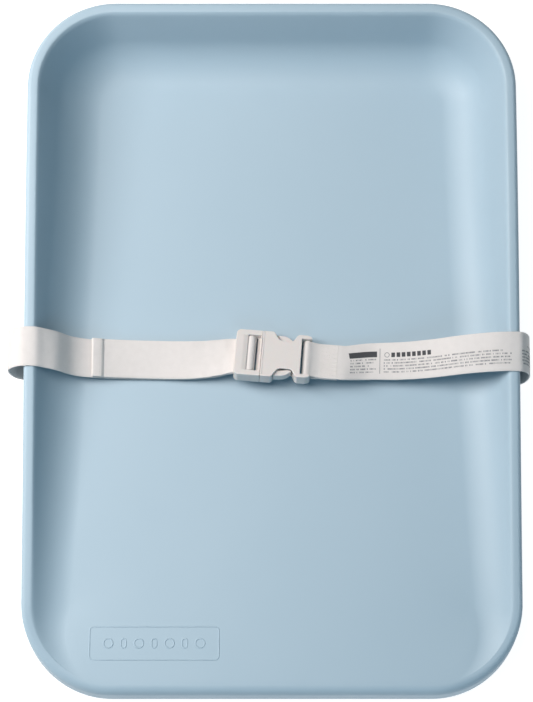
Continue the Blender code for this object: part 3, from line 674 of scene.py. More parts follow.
@dataclass
class Tray:
    """The foam tray: a flat-topped rim round a dished floor, low at the foot end."""

    width: float
    length: float
    head_height: float
    base_z: float
    wall_draft: float = 2.0 * MM
    foot_height: float = 36.0 * MM
    corner_radius: float = 90.0 * MM
    rim_width: float = 11.4 * MM
    rim_round: float = 4.6 * MM
    # shares of the rim's flat top, with how far it has fallen there
    rim_crown: tuple[Pair, ...] = ((0.3, 0.0), (0.62, 0.04 * MM), (0.8, 0.28 * MM), (0.93, 0.62 * MM))
    foot_round: float = 10.0 * MM
    foot_turn: float = 0.8
    base_round: float = 3.0 * MM
    rail_rise_from: float = 130.0 * MM
    rail_rise_to: float = 50.0 * MM
    floor_thickness: float = 29.0 * MM
    floor_dish: float = 3.0 * MM
    wall_slope: float = math.radians(67.0)
    wall_fillet: float = 49.0 * MM
    wall_lip: float = 0.9 * MM
    wall_lip_run: float = 2.2 * MM
    least_run: float = 0.04 * MM
    parting_line: float = 0.18 * MM
    parting_levels: tuple[float, ...] = (0.5 * MM, 0.9 * MM, 1.3 * MM)
    channel_clearance: float = 2.0 * MM
    channel_room: float = 1.7 * MM
    sharp_angle: float = 42.0
    flat_area: float = 4.0e-4  # square metres: a larger face is the flat base's, and isn't smoothed
    corner_steps: int = 30
    side_step: float = 6.0 * MM
    base_steps: int = 6
    round_steps: int = 10
    wall_steps: int = 30
    floor_steps: int = 26

    @classmethod
    def from_frame(cls) -> "Tray":
        """Takes the tray's overall sizes from the frame."""
        low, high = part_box("foam_pad")
        draft = 2.0 * cls.wall_draft
        return cls(high.x - low.x - draft, high.y - low.y - draft, high.z, low.z)

    def outline(self) -> list[tuple[Vector, Vector]]:
        """Walks round the outer edge, as points with their inward directions."""
        centre_x = self.width / 2.0 - self.corner_radius
        centre_y = self.length / 2.0 - self.corner_radius
        corners = [(centre_x, centre_y), (-centre_x, centre_y)]
        corners += [(-centre_x, -centre_y), (centre_x, -centre_y)]
        walk = []
        for index, corner in enumerate(corners):
            middle = Vector(corner)
            for step in range(self.corner_steps + 1):
                angle = math.pi / 2.0 * (index + step / self.corner_steps)
                away = Vector((math.cos(angle), math.sin(angle)))
                walk.append((middle + away * self.corner_radius, -away))
            edge = Vector(corners[(index + 1) % 4]) - middle
            steps = round(edge.length / self.side_step)
            anchor, inward = walk[-1]
            walk += [(anchor + edge * (step / steps), inward) for step in range(1, steps)]
        return walk

    def rail_height(self, y: float) -> float:
        """Gives the rail's top at a place along the tray, without the foot corners.

        Args:
            y: the place along the tray.

        Returns:
            The height.
        """
        low = -self.length / 2.0 - self.rail_rise_from
        high = self.length / 2.0 - self.rail_rise_to
        rise = self.head_height - self.foot_height
        return self.foot_height + rise * ease((y - low) / (high - low))

    def rail_slope(self, y: float) -> float:
        """Gives how steeply the rail's top climbs towards the head."""
        return (self.rail_height(y + MM) - self.rail_height(y - MM)) / (2.0 * MM)

    def foot_fade(self, y: float) -> float:
        """Gives 1 on the sides and the head, falling to 0 round the foot corners.

        Args:
            y: a place along the tray.

        Returns:
            The share of the rail's height that is kept there.
        """
        corner_y = -self.length / 2.0 + self.corner_radius
        if y >= corner_y:
            return 1.0
        sweep = math.asin(min((corner_y - y) / self.corner_radius, 1.0)) / (math.pi / 2.0)
        return 1.0 - ease(sweep / self.foot_turn)

    def wall_run(self, drop: float) -> Pair:
        """Gives the straight and the whole horizontal run of the inner wall for a drop.

        Args:
            drop: how far the wall falls.

        Returns:
            The straight run and the whole run.
        """
        fillet_drop = self.wall_fillet * (1.0 - math.cos(self.wall_slope))
        if drop > fillet_drop:
            straight = (drop - fillet_drop) / math.tan(self.wall_slope)
            return straight, straight + self.wall_fillet * math.sin(self.wall_slope)
        return 0.0, self.wall_fillet * math.sin(math.acos(1.0 - drop / self.wall_fillet))

    def wall_drop(self, run: float, straight: float, total: float) -> float:
        """Gives how far the inner wall has fallen at a run from the rim.

        Args:
            run: the horizontal distance from the rim.
            straight: the straight part of the whole run.
            total: the whole run.

        Returns:
            The fall.
        """
        if run < straight:
            return run * math.tan(self.wall_slope)
        radius = self.wall_fillet
        high = radius - math.sqrt(radius**2 - (total - straight) ** 2)
        low = radius - math.sqrt(radius**2 - max(total - run, 0.0) ** 2)
        return straight * math.tan(self.wall_slope) + high - low

    def section(self, y: float) -> list[Pair]:
        """Gives the section at a place along the tray.

        Args:
            y: the place along the tray.

        Returns:
            Pairs of inset and height, from the underside over the rim to the floor.
        """
        fade = self.foot_fade(y)
        top = self.foot_height + (self.rail_height(y) - self.foot_height) * fade
        floor = self.foot_height + (self.floor_thickness + self.floor_dish - self.foot_height) * fade
        edge = self.foot_round + (self.rim_round - self.foot_round) * fade
        straight, total = self.wall_run(max(top - floor, 0.0))
        pairs = self._outside(top - edge)
        for step in range(self.round_steps + 1):
            angle = math.pi / 2.0 * step / self.round_steps
            pairs.append((edge * (1.0 - math.cos(angle)), top - edge * (1.0 - math.sin(angle))))
        flat = self.rim_width - edge
        for share, fall in self.rim_crown:
            pairs.append((self.rim_width - flat * (1.0 - share) * fade, top - fall * fade))
        for step in range(1, self.wall_steps + 1):
            run = total * step / self.wall_steps
            lip = self.wall_lip * fade * math.exp(-run / self.wall_lip_run)
            pairs.append((self.rim_width + run, top - self.wall_drop(run, straight, total) - lip))
        inner = len(pairs) - self.wall_steps - len(self.rim_crown) - self.round_steps - 1
        kept = pairs[:inner]
        for inset, height in pairs[inner:]:
            kept.append((max(inset, kept[-1][0] + self.least_run), height))
        return kept

    def _outside(self, wall_top: float) -> list[Pair]:
        """Gives the base's rounding and the outer wall with its parting line.

        Args:
            wall_top: the height where the rim's rounding starts.

        Returns:
            Pairs of inset and height.
        """
        pairs = []
        for step in range(self.base_steps + 1):
            angle = math.pi / 2.0 * step / self.base_steps
            inset = self.base_round * (1.0 - math.sin(angle)) - self.wall_draft
            pairs.append((inset, self.base_z + self.base_round * (1.0 - math.cos(angle))))
        low = pairs[-1][1]
        line = low + (wall_top - low) * 0.5
        above = list(self.parting_levels)
        for away in [-level for level in reversed(above)] + [0.0] + above:
            height = line + away
            share = (height - low) / (wall_top - low)
            proud = self.parting_line if away == 0.0 else 0.0
            pairs.append((-self.wall_draft * (1.0 - share) - proud, height))
        return pairs

    def build(self, material: bpy.types.Material) -> bpy.types.Object:
        """Makes the tray and hands it over.

        Args:
            material: the foam's skin.

        Returns:
            The tray.
        """
        walk = self.outline()
        sections = [self.section(point.y) for point, _ in walk]
        rings = []
        for level in range(len(sections[0])):
            ring = []
            for (point, inward), pairs in zip(walk, sections):
                place = point + inward * pairs[level][0]
                ring.append(Vector((place.x, place.y, pairs[level][1])))
            rings.append(ring)
        rings += self._floor(rings[-1])
        item = add_object("foam_tray", loft("foam_tray", rings), material)
        self.surface = BVHTree.FromObject(item, bpy.context.evaluated_depsgraph_get())
        self._cut_channel(item)
        shade(item.data, self.sharp_angle)
        for face in item.data.polygons:
            face.use_smooth = face.area < self.flat_area
        return hand_over(item, Body.PAD, Slot.SKIN, "foam_pad")

    def _floor(self, wall_foot: Sequence[Vector]) -> list[list[Vector]]:
        """Gives the dished floor's rings, lifted smoothly to meet the foot of the wall.

        Args:
            wall_foot: the ring where the wall meets the floor.

        Returns:
            The rings, from the wall to the middle.
        """
        edge = np.array([tuple(corner) for corner in wall_foot])
        outline = edge[:, :2]
        reach = np.abs(outline).max(axis=0)
        gap = edge[:, 2] - self._dished(outline, reach)
        rings = []
        for step in range(1, self.floor_steps):
            places = outline * (1.0 - step / self.floor_steps)
            heights = self._dished(places, reach) + self._spread(outline, gap, places)
            rings.append([Vector(corner) for corner in np.column_stack((places, heights)).tolist()])
        return rings

    def _dished(self, places: np.ndarray, reach: np.ndarray) -> np.ndarray:
        """Gives the floor's height, lowest in the middle and level along its edge.

        Args:
            places: the places, as x and y.
            reach: half the floor's width and half its length.

        Returns:
            The height at each place.
        """
        dish = 1.0 - np.prod(1.0 - (places / reach) ** 2, axis=1)
        return self.floor_thickness + self.floor_dish * dish

    @staticmethod
    def _spread(edge: np.ndarray, values: np.ndarray, places: np.ndarray) -> np.ndarray:
        """Carries values on an edge smoothly over the surface inside it (mean value weights).

        Args:
            edge: the edge's corners, in order, counterclockwise.
            values: the value at each corner.
            places: the places inside.

        Returns:
            The value at each place.
        """
        away = edge[None] - places[:, None]
        angle = np.arctan2(away[..., 1], away[..., 0])
        half = np.tan(((np.roll(angle, -1, axis=1) - angle) % (2.0 * math.pi)) / 2.0)
        weights = (half + np.roll(half, 1, axis=1)) / np.linalg.norm(away, axis=2)
        return weights @ values / weights.sum(axis=1)

    def _cut_channel(self, item: bpy.types.Object) -> None:
        """Cuts the strap's channel across the underside.

        Args:
            item: the tray.
        """
        low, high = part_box("webbing_under")
        long = high.y - low.y + 2.0 * self.channel_clearance
        tall = 2.0 * (high.z - low.z + self.channel_room)
        size = Vector((self.width * 1.1, long, tall))
        middle = Vector((0.0, (low.y + high.y) / 2.0, low.z))
        combine(item, block("strap_channel", size, Matrix.Translation(middle)), "DIFFERENCE")

    def drape(self, x: float, y: float, lift: float) -> Vector:
        """Gives a point above the tray's upper surface.

        Args:
            x: the place across the tray.
            y: the place along the tray.
            lift: the height above the surface.

        Returns:
            The point.
        """
        hit = self.surface.ray_cast(Vector((x, y, 1.0)), Vector((0.0, 0.0, -1.0)))[0]
        return hit + Vector((0.0, 0.0, lift))


@dataclass
class FrameMark:
    """A plain raised frame with a row of rings and bars, moulded into the floor's corner."""

    tray: Tray
    middle: Pair = (-117.5 * MM, -300.0 * MM)
    size: Pair = (129.0 * MM, 33.0 * MM)
    corner: float = 4.0 * MM
    line: float = 1.3 * MM
    height: float = 0.4 * MM
    root: float = 0.3 * MM
    motifs: int = 7
    end_room: float = 22.0 * MM
    ring_radius: float = 4.6 * MM
    bar_width: float = 5.0 * MM
    corner_steps: int = 8
    long_edge: float = 12.0 * MM

    def _rounded(self, width: float, height: float, corner: float, x: float = 0.0) -> list[Pair]:
        """Gives a rounded rectangle.

        Args:
            width: its width.
            height: its height.
            corner: its corner radius.
            x: how far its middle lies from the mark's middle.

        Returns:
            Its points, counter-clockwise.
        """
        points = []
        for index, (sx, sy) in enumerate(((1, 1), (-1, 1), (-1, -1), (1, -1))):
            for step in range(self.corner_steps + 1):
                angle = math.pi / 2.0 * (index + step / self.corner_steps)
                px = sx * (width / 2.0 - corner) + corner * math.cos(angle)
                py = sy * (height / 2.0 - corner) + corner * math.sin(angle)
                points.append((x + px, py))
            run = (height if index % 2 else width) - 2.0 * corner
            if run > self.long_edge:
                tx, ty = points[-1]
                step_x, step_y = ((-1, 0), (0, -1), (1, 0), (0, 1))[index]
                for share in (0.2, 0.4, 0.6, 0.8):
                    points.append((tx + step_x * run * share, ty + step_y * run * share))
        return points

    def _bead(self, name: str, outline: list[Pair]) -> bpy.types.Mesh:
        """Makes a low raised line along an outline.

        Args:
            name: the mesh's name.
            outline: the line's middle.

        Returns:
            The mesh.
        """
        half = self.line / 2.0
        profile = [(-half, -self.root), (-half, self.height * 0.4), (-half * 0.4, self.height)]
        profile += [(half * 0.4, self.height), (half, self.height * 0.4), (half, -self.root)]
        rings = []
        count = len(outline)
        for k, (x, y) in enumerate(outline):
            before, after = Vector(outline[k - 1]), Vector(outline[(k + 1) % count])
            along = (after - before).normalized()
            ring = []
            for out, lift in profile:
                px = self.middle[0] + x + along.y * out
                py = self.middle[1] + y - along.x * out
                ring.append(self.tray.drape(px, py, lift))
            rings.append(ring)
        return loft(name, rings, closed=True)

    def build(self, material: bpy.types.Material) -> bpy.types.Object:
        """Makes the mark and hands it over.

        Args:
            material: the foam's skin.

        Returns:
            The mark.
        """
        width, height = self.size
        outlines = [self._rounded(width, height, self.corner)]
        pitch = (width - self.end_room) / self.motifs
        tall = 2.0 * self.ring_radius
        for k in range(self.motifs):
            x = (k - (self.motifs - 1) / 2.0) * pitch
            wide = tall if k % 2 == 0 else self.bar_width
            outlines.append(self._rounded(wide, tall, wide / 2.0 - 0.01 * MM, x))
        work = bmesh.new()
        for outline in outlines:
            work.from_mesh(self._bead("bead", outline))
        mesh = bpy.data.meshes.new("floor_mark")
        work.to_mesh(mesh)
        work.free()
        item = add_object("floor_mark", mesh, material)
        shade(mesh, 60.0)
        return hand_over(item, Body.PAD, Slot.SKIN)


@dataclass
class Feet:
    """The four grip discs under the corners, each with pressed rings."""

    corners: tuple[str, ...] = ("head_left", "head_right", "foot_left", "foot_right")
    steps: int = 64
    rings: int = 5
    groove: float = 0.35 * MM
    groove_draft: float = 0.3 * MM
    edge: float = 0.3 * MM

    def build(self, material: bpy.types.Material) -> None:
        """Makes the discs and hands them over.

        Args:
            material: the rubber.
        """
        for corner in self.corners:
            node = "foot_pad_" + corner
            disc = self._disc(*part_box(node))
            item = add_object("grip_disc_" + corner, disc, material)
            hand_over(item, Body.PAD, Slot.RUBBER, node)

    def _disc(self, low: Vector, high: Vector) -> bpy.types.Mesh:
        """Turns one disc about its own middle.

        Args:
            low: its lowest corner.
            high: its highest corner.

        Returns:
            The mesh.
        """
        middle = (low + high) / 2.0
        radius = (high.x - low.x) / 2.0
        hub = 0.02 * radius
        profile = [(hub, low.z)]
        for k in range(self.rings):
            inner = radius * (k + 0.45) / self.rings
            outer = radius * (k + 0.85) / self.rings
            profile += [(inner - self.groove_draft, low.z), (inner, low.z + self.groove)]
            profile += [(outer - self.groove_draft, low.z + self.groove), (outer, low.z)]
        profile += [(radius - 0.25 * MM, low.z), (radius, low.z + self.edge)]
        profile += [(radius, high.z - self.edge), (radius - self.edge, high.z), (hub, high.z)]
        rings = []
        for reach, z in profile:
            ring = []
            for k in range(self.steps):
                angle = 2.0 * math.pi * k / self.steps
                x = middle.x + reach * math.cos(angle)
                ring.append(Vector((x, middle.y + reach * math.sin(angle), z)))
            rings.append(ring)
        mesh = loft("grip_disc", rings)
        shade(mesh, 50.0)
        return mesh


# The buckle ---------------------------------------------------------------------


@dataclass
class BuckleFrame:
    """The buckle's own frame and the sizes that its pieces and the webbing share."""

    matrix: Matrix
    webbing_width: float = 40.0 * MM
    webbing_thickness: float = 1.5 * MM
    slot_clearance: float = 0.75 * MM
    side_rail: float = 5.75 * MM
    ear_wall: float = 4.05 * MM
    thickness: float = 14.0 * MM
    plug_length: float = 27.0 * MM
    centre_bar_radius: float = 3.0 * MM
    centre_bar_lift: float = 1.4 * MM
    centre_bar_back: float = 11.2 * MM
    socket_bar_at: float = 46.0 * MM
    socket_bar_radius: float = 2.5 * MM
    lap_layer: float = -0.5 * MM
    lap_from_bar: float = 15.0 * MM
    lap_length: float = 17.0 * MM
    load_drop: float = 2.6 * MM
    tail_pass_room: float = 0.15 * MM
    prong_root: float = 2.1 * MM

    @classmethod
    def from_frame(cls) -> "BuckleFrame":
        """Reads the frame's directions and its seam from the joints."""
        joints = {joint["name"]: joint for joint in frame["joints"]}
        u = Vector(joints["buckle_release"]["axis"]).normalized()
        head, foot = joints["prong_press"], joints["prong_press_foot_side"]
        w = Vector(head["axis"]).normalized()
        v = w.cross(u).normalized()
        seam = (Vector(head["pos_m"]) + Vector(foot["pos_m"])) / 2.0 - u * cls.prong_root
        turn = Matrix((u, v, w)).transposed().to_4x4()
        return cls(Matrix.Translation(seam) @ turn)

    @property
    def width(self) -> float:
        """The width over both side rails."""
        return self.opening + 2.0 * self.side_rail

    @property
    def opening(self) -> float:
        """The clear width for the webbing."""
        return self.webbing_width + 2.0 * self.slot_clearance

    @property
    def bar_reach(self) -> float:
        """The radius of the webbing's middle round the plug's centre bar."""
        return self.centre_bar_radius + GAP + self.webbing_thickness / 2.0

    @property
    def loop_reach(self) -> float:
        """The radius of the webbing's middle round the socket's bar."""
        return self.socket_bar_radius + GAP + self.webbing_thickness / 2.0

    @property
    def load_layer(self) -> float:
        """The height of the load side under the plug's bars."""
        return self.centre_bar_lift - self.bar_reach - self.load_drop

    @property
    def tail_layer(self) -> float:
        """The height of the tail between the load side and the end bar."""
        return self.load_layer + self.webbing_thickness + GAP + self.tail_pass_room

    @property
    def lap_end(self) -> float:
        """The end of the sewn lap."""
        return self.socket_bar_at + self.lap_from_bar + self.lap_length


def arc(cx: float, cy: float, radius: float, start: float, end: float, steps: int) -> list[Vector]:
    """Gives points on an arc.

    Args:
        cx: the middle's u.
        cy: the middle's v.
        radius: the radius.
        start: the first angle, in degrees.
        end: the last angle, in degrees.
        steps: how many steps it takes.

    Returns:
        The points.
    """
    points = []
    for step in range(steps + 1):
        angle = math.radians(start + (end - start) * step / steps)
        points.append(Vector((cx + radius * math.cos(angle), cy + radius * math.sin(angle))))
    return points


def slab(name: str, outline: Sequence[Vector], low: float, high: float) -> bpy.types.Object:
    """Makes a flat body from an outline.

    Args:
        name: its name.
        outline: its outline, counter-clockwise, as u and v.
        low: its underside.
        high: its top.

    Returns:
        The body.
    """
    rings = [[Vector((p.x, p.y, height)) for p in outline] for height in (low, high)]
    return add_object(name, loft(name, rings))


@dataclass
class MouldedPiece:
    """A moulded part: sharp working shapes, then rounded off as the mould leaves them."""

    frame: BuckleFrame
    grain: float = 0.36 * MM
    rounding: int = 7
    kept: float = 0.55

    def soften(self, item: bpy.types.Object, material: bpy.types.Material) -> bpy.types.Object:
        """Rounds every edge of a body and moves it to its place.

        Args:
            item: the body, in the buckle's frame.
            material: its plastic.

        Returns:
            The body.
        """
        remesh = item.modifiers.new("skin", "REMESH")
        remesh.mode = "VOXEL"
        remesh.voxel_size = self.grain
        remesh.use_smooth_shade = True
        relax = item.modifiers.new("round", "SMOOTH")
        relax.factor = 0.5
        relax.iterations = self.rounding
        thin = item.modifiers.new("thin", "DECIMATE")
        thin.ratio = self.kept
        settle(item)
        item.data.transform(self.frame.matrix)
        item.data.shade_smooth()
        item.data.materials.clear()
        item.data.materials.append(material)
        return item

    def cut(self, item: bpy.types.Object, low: Pair3, high: Pair3) -> None:
        """Cuts a block out of a body, from its lowest to its highest corner."""
        combine(item, self.slice(low, high), "DIFFERENCE")

    def join(self, item: bpy.types.Object, low: Pair3, high: Pair3) -> None:
        """Joins a block to a body, from its lowest to its highest corner."""
        combine(item, self.slice(low, high), "UNION")

    def slice(self, low: Pair3, high: Pair3) -> bpy.types.Object:
        """Makes a block from its lowest to its highest corner."""
        a, b = Vector(low), Vector(high)
        return block("tool", b - a, Matrix.Translation((a + b) / 2.0))

    def bar(self, item: bpy.types.Object, u: float, w: float, radius: float) -> None:
        """Joins a round bar across a body.

        Args:
            item: the body.
            u: the bar's place along the strap.
            w: its height.
            radius: its radius.
        """
        length = self.frame.opening + 2.0 * MM
        combine(item, rod("tool", radius, length, Matrix.Translation((u, 0.0, w))), "UNION")


@dataclass
class Plug(MouldedPiece):
    """The half with the ladder bars, the guide tongue and the prongs' roots."""

    corner: float = 5.0 * MM
    end_bar: float = 10.6 * MM
    end_lip: float = 1.8 * MM
    roll_room: float = 0.3 * MM
    front_wall: float = 5.0 * MM
    front_sink: float = 7.0 * MM
    front_skin: float = 0.9 * MM
    lead_in: float = 1.1 * MM
    tail_room: float = 0.4 * MM
    tongue_length: float = 26.0 * MM
    tongue_half: float = 3.0 * MM
    tongue_half_height: float = 2.5 * MM
    tongue_root: float = 2.0 * MM

    def build(self, material: bpy.types.Material) -> bpy.types.Object:
        """Makes the plug and hands it over.

        Args:
            material: its plastic.

        Returns:
            The plug.
        """
        half, half_width = self.frame.thickness / 2.0, self.frame.width / 2.0
        back = -self.frame.plug_length
        points = arc(back + self.corner, self.corner - half_width, self.corner, 180.0, 270.0, 12)
        points += [Vector((-GAP, -half_width)), Vector((-GAP, half_width))]
        points += arc(back + self.corner, half_width - self.corner, self.corner, 90.0, 180.0, 12)
        item = slab("buckle_plug_body", points, -half, half)
        side = self.frame.opening / 2.0
        rear, front = back + self.end_bar, -self.front_wall
        lift, at = self.frame.centre_bar_lift, -self.frame.centre_bar_back
        self.cut(item, (rear + self.end_lip, -side, -2.0 * half), (front, side, 2.0 * half))
        self.cut(item, (rear, -side, -2.0 * half), (front, side, lift))
        room = self.frame.bar_reach + self.frame.webbing_thickness / 2.0 + self.roll_room
        combine(item, rod("tool", room, 2.0 * side, Matrix.Translation((at, 0.0, lift))), "DIFFERENCE")
        ceiling = self.frame.tail_layer + self.frame.webbing_thickness / 2.0 + self.tail_room
        self.cut(item, (back - 5.0 * MM, -side, -2.0 * half), (rear + 1.0 * MM, side, ceiling))
        face = -GAP - self.front_skin
        self.cut(item, (front - 1.0 * MM, -side, half - self.front_sink), (face, side, 2.0 * half))
        self._slope_end_bar(item, rear + self.end_lip, half, side)
        self.bar(item, at, lift, self.frame.centre_bar_radius)
        wide, tall = self.tongue_half, self.tongue_half_height
        self.join(item, (-self.tongue_root, -wide, -tall), (self.tongue_length, wide, tall))
        self.soften(item, material)
        return hand_over(item, Body.PAD, Slot.PLASTIC, "buckle_plug")

    def _slope_end_bar(self, item: bpy.types.Object, rear: float, half: float, side: float) -> None:
        """Slopes the end bar's inner half down to the well.

        Args:
            item: the plug.
            rear: the well's rear edge.
            half: half the plug's thickness.
            side: half the clear width.
        """
        run, tall = self.end_bar * 0.45, 8.0 * MM
        turn = Matrix.Rotation(math.atan2(self.lead_in, run), 4, "Y")
        above = Matrix.Translation((run, 0.0, tall / 2.0))
        place = Matrix.Translation((rear - run, 0.0, half)) @ turn @ above
        combine(item, block("tool", Vector((2.0 * run, 2.0 * side, tall)), place), "DIFFERENCE")


@dataclass
class Socket(MouldedPiece):
    """The half with the mouth, the side windows, the ears and the bar of the sewn loop."""

    mouth_length: float = 11.4 * MM
    mouth_wall: float = 2.6 * MM
    plate: float = 2.1 * MM
    waist_inset: float = 10.4 * MM
    waist_from: float = 19.0 * MM
    waist_to: float = 31.0 * MM
    lug_from: float = 36.2 * MM
    slot_at: float = 40.2 * MM
    length: float = 50.6 * MM
    cavity_end: float = 33.0 * MM
    tongue_half: float = 3.0 * MM
    rib_clearance: float = 1.0 * MM
    rib_width: float = 1.3 * MM
    rib_from: float = 8.0 * MM
    rib_to: float = 26.0 * MM
    lip: float = 0.35 * MM
    lip_length: float = 1.5 * MM

    @property
    def cavity_half_width(self) -> float:
        """Half the width of the cavity."""
        return self.frame.width / 2.0 - self.mouth_wall

    @property
    def cavity_half_height(self) -> float:
        """Half the height of the cavity."""
        return self.frame.thickness / 2.0 - self.plate

    def outline(self) -> list[Vector]:
        """Gives the outline: mouth, shoulders, waist and lug."""
        half, mouth = self.frame.width / 2.0, self.mouth_length
        waist = half - self.waist_inset
        lug = self.frame.opening / 2.0 + self.frame.ear_wall
        places = [(0.0, half), (mouth - 1.0 * MM, half), (mouth + 0.6 * MM, half - 1.2 * MM)]
        places += [(mouth + 3.8 * MM, waist + 4.0 * MM), (self.waist_from - 1.6 * MM, waist + 1.2 * MM)]
        places += [(self.waist_from + 0.6 * MM, waist + 0.2 * MM), (self.waist_from + 2.4 * MM, waist)]
        places += [(self.waist_to - 1.2 * MM, waist), (self.waist_to + 0.8 * MM, waist + 1.0 * MM)]
        places += [(self.lug_from - 1.0 * MM, lug - 1.6 * MM), (self.lug_from + 1.2 * MM, lug)]
        places += [(self.length - 5.0 * MM, lug), (self.length - 1.4 * MM, lug - 1.3 * MM)]
        places += [(self.length, lug - 2.8 * MM)]
        upper = [Vector(place) for place in places]
        return [Vector((p.x, -p.y)) for p in upper] + upper[::-1]

    def build(self, material: bpy.types.Material) -> bpy.types.Object:
        """Makes the socket and hands it over.

        Args:
            material: its plastic.

        Returns:
            The socket.
        """
        half = self.frame.thickness / 2.0
        wide, tall = self.cavity_half_width, self.cavity_half_height
        item = slab("buckle_socket_body", self.outline(), -half, half)
        rim = self.frame.width / 2.0 - 1.0 * MM
        self.join(item, (0.0, -rim, 0.0), (self.lip_length, rim, half + self.lip))
        self.cut(item, (-2.0 * MM, -wide, -tall), (self.cavity_end, wide, tall))
        side = self.frame.opening / 2.0
        self.cut(item, (self.slot_at, -side, -2.0 * half), (self.length + 4.0 * MM, side, 2.0 * half))
        self.bar(item, self.frame.socket_bar_at, 0.0, self.frame.socket_bar_radius)
        near = self.tongue_half + self.rib_clearance
        rib_top = tall + 1.0 * MM
        for low, high in ((near, near + self.rib_width), (-near - self.rib_width, -near)):
            self.join(item, (self.rib_from, low, -rib_top), (self.rib_to, high, rib_top))
        self.soften(item, material)
        return hand_over(item, Body.SOCKET, Slot.PLASTIC, "buckle_socket")


@dataclass
class Prong(MouldedPiece):
    """A sprung prong: an arm, the pad that is pressed and a tapered tip."""

    socket: Socket | None = None
    side: int = 1
    reach: float = 31.4 * MM
    arm: float = 3.2 * MM
    root_inset: float = 5.3 * MM
    side_gap: float = 0.6 * MM
    grain: float = 0.3 * MM
    rounding: int = 9
    kept: float = 0.7

    def outline(self) -> list[Vector]:
        """Gives the head-side prong from its root, as u and v."""
        wide = self.socket.cavity_half_width
        root = Vector((self.frame.prong_root, wide - self.root_inset))
        half = self.arm / 2.0
        outer = wide - GAP - root.y
        step = self.socket.mouth_length + 1.0 * MM - root.x
        end = self.reach - root.x
        points = [Vector((step - 1.2 * MM, -half)), Vector((step + 8.0 * MM, -half * 0.8))]
        points += [Vector((end - 4.0 * MM, -half * 1.6)), Vector((end - 0.6 * MM, -half * 1.3))]
        points += [Vector((end, -half * 0.6)), Vector((end - 4.6 * MM, outer - 2.2 * MM))]
        points += [Vector((end - 7.6 * MM, outer - 0.9 * MM)), Vector((step + 8.4 * MM, outer - 0.25 * MM))]
        points += [Vector((step + 3.4 * MM, outer)), Vector((step + 1.0 * MM, outer - 0.2 * MM))]
        points += [Vector((step, outer - 1.2 * MM)), Vector((step - 0.2 * MM, half + 0.3 * MM))]
        points += [Vector((step - 1.2 * MM, half))]
        points += arc(0.0, 0.0, half, 90.0, 270.0, 8)
        return [point + root for point in points]

    def build(self, material: bpy.types.Material) -> bpy.types.Object:
        """Makes the prong and hands it over.

        Args:
            material: its plastic.

        Returns:
            The prong.
        """
        points = self.outline()
        if self.side < 0:
            points = [Vector((p.x, -p.y)) for p in reversed(points)]
        half = self.socket.cavity_half_height - self.side_gap
        end = "head" if self.side > 0 else "foot"
        item = slab(f"buckle_prong_{end}", points, -half, half)
        self.soften(item, material)
        body = Body.PRONG_HEAD if self.side > 0 else Body.PRONG_FOOT
        return hand_over(item, body, Slot.PLASTIC, f"prong_{end}_side")


# The strap ----------------------------------------------------------------------


@dataclass
class Station:
    """A place on a webbing route: its middle and the direction across the webbing."""

    place: Vector
    across: Vector


def mix(a: Vector, b: Vector, knots: Pair, at: float) -> Vector:
    """Goes from a to b between two knots."""
    share = (at - knots[0]) / (knots[1] - knots[0])
    return a * (1.0 - share) + b * share


def curve_point(points: Sequence[Vector], index: int, t: float) -> Vector:
    """Gives a point of a centripetal Catmull-Rom curve.

    Args:
        points: the points that the curve runs through.
        index: the stretch, by its first point.
        t: the share of that stretch.

    Returns:
        The point.
    """
    start, end = points[index], points[index + 1]
    before = points[index - 1] if index else start * 2.0 - end
    after = points[index + 2] if index + 2 < len(points) else end * 2.0 - start
    knots = [0.0]
    for a, b in ((before, start), (start, end), (end, after)):
        knots.append(knots[-1] + max((b - a).length, 1e-9) ** 0.5)
    at = knots[1] + t * (knots[2] - knots[1])
    first = mix(before, start, (knots[0], knots[1]), at)
    second = mix(start, end, (knots[1], knots[2]), at)
    third = mix(end, after, (knots[2], knots[3]), at)
    left = mix(first, second, (knots[0], knots[2]), at)
    right = mix(second, third, (knots[1], knots[3]), at)
    return mix(left, right, (knots[1], knots[2]), at)


def smooth_route(stations: Sequence[Station], spacing: float = 0.9 * MM) -> list[Station]:
    """Reads a smooth curve through stations.

    Args:
        stations: the stations.
        spacing: how far apart the new stations lie.

    Returns:
        The new stations.
    """
    points = [station.place for station in stations]
    result = []
    for index in range(len(points) - 1):
        steps = max(2, round((points[index + 1] - points[index]).length / spacing))
        for step in range(steps):
            across = stations[index].across.lerp(stations[index + 1].across, ease(step / steps))
            result.append(Station(curve_point(points, index, step / steps), across.normalized()))
    return result + [stations[-1]]


def normal_at(stations: Sequence[Station], index: int) -> Vector:
    """Gives the direction through the webbing's thickness at a station.

    Args:
        stations: the route.
        index: the station's number.

    Returns:
        The direction, a metre long.
    """
    before = stations[max(index - 1, 0)].place
    after = stations[min(index + 1, len(stations) - 1)].place
    return (after - before).cross(stations[index].across).normalized()


def offset(stations: Sequence[Station], distance: float) -> list[Station]:
    """Moves every station of a route through the webbing's thickness."""
    return [Station(s.place + normal_at(stations, k) * distance, s.across) for k, s in enumerate(stations)]


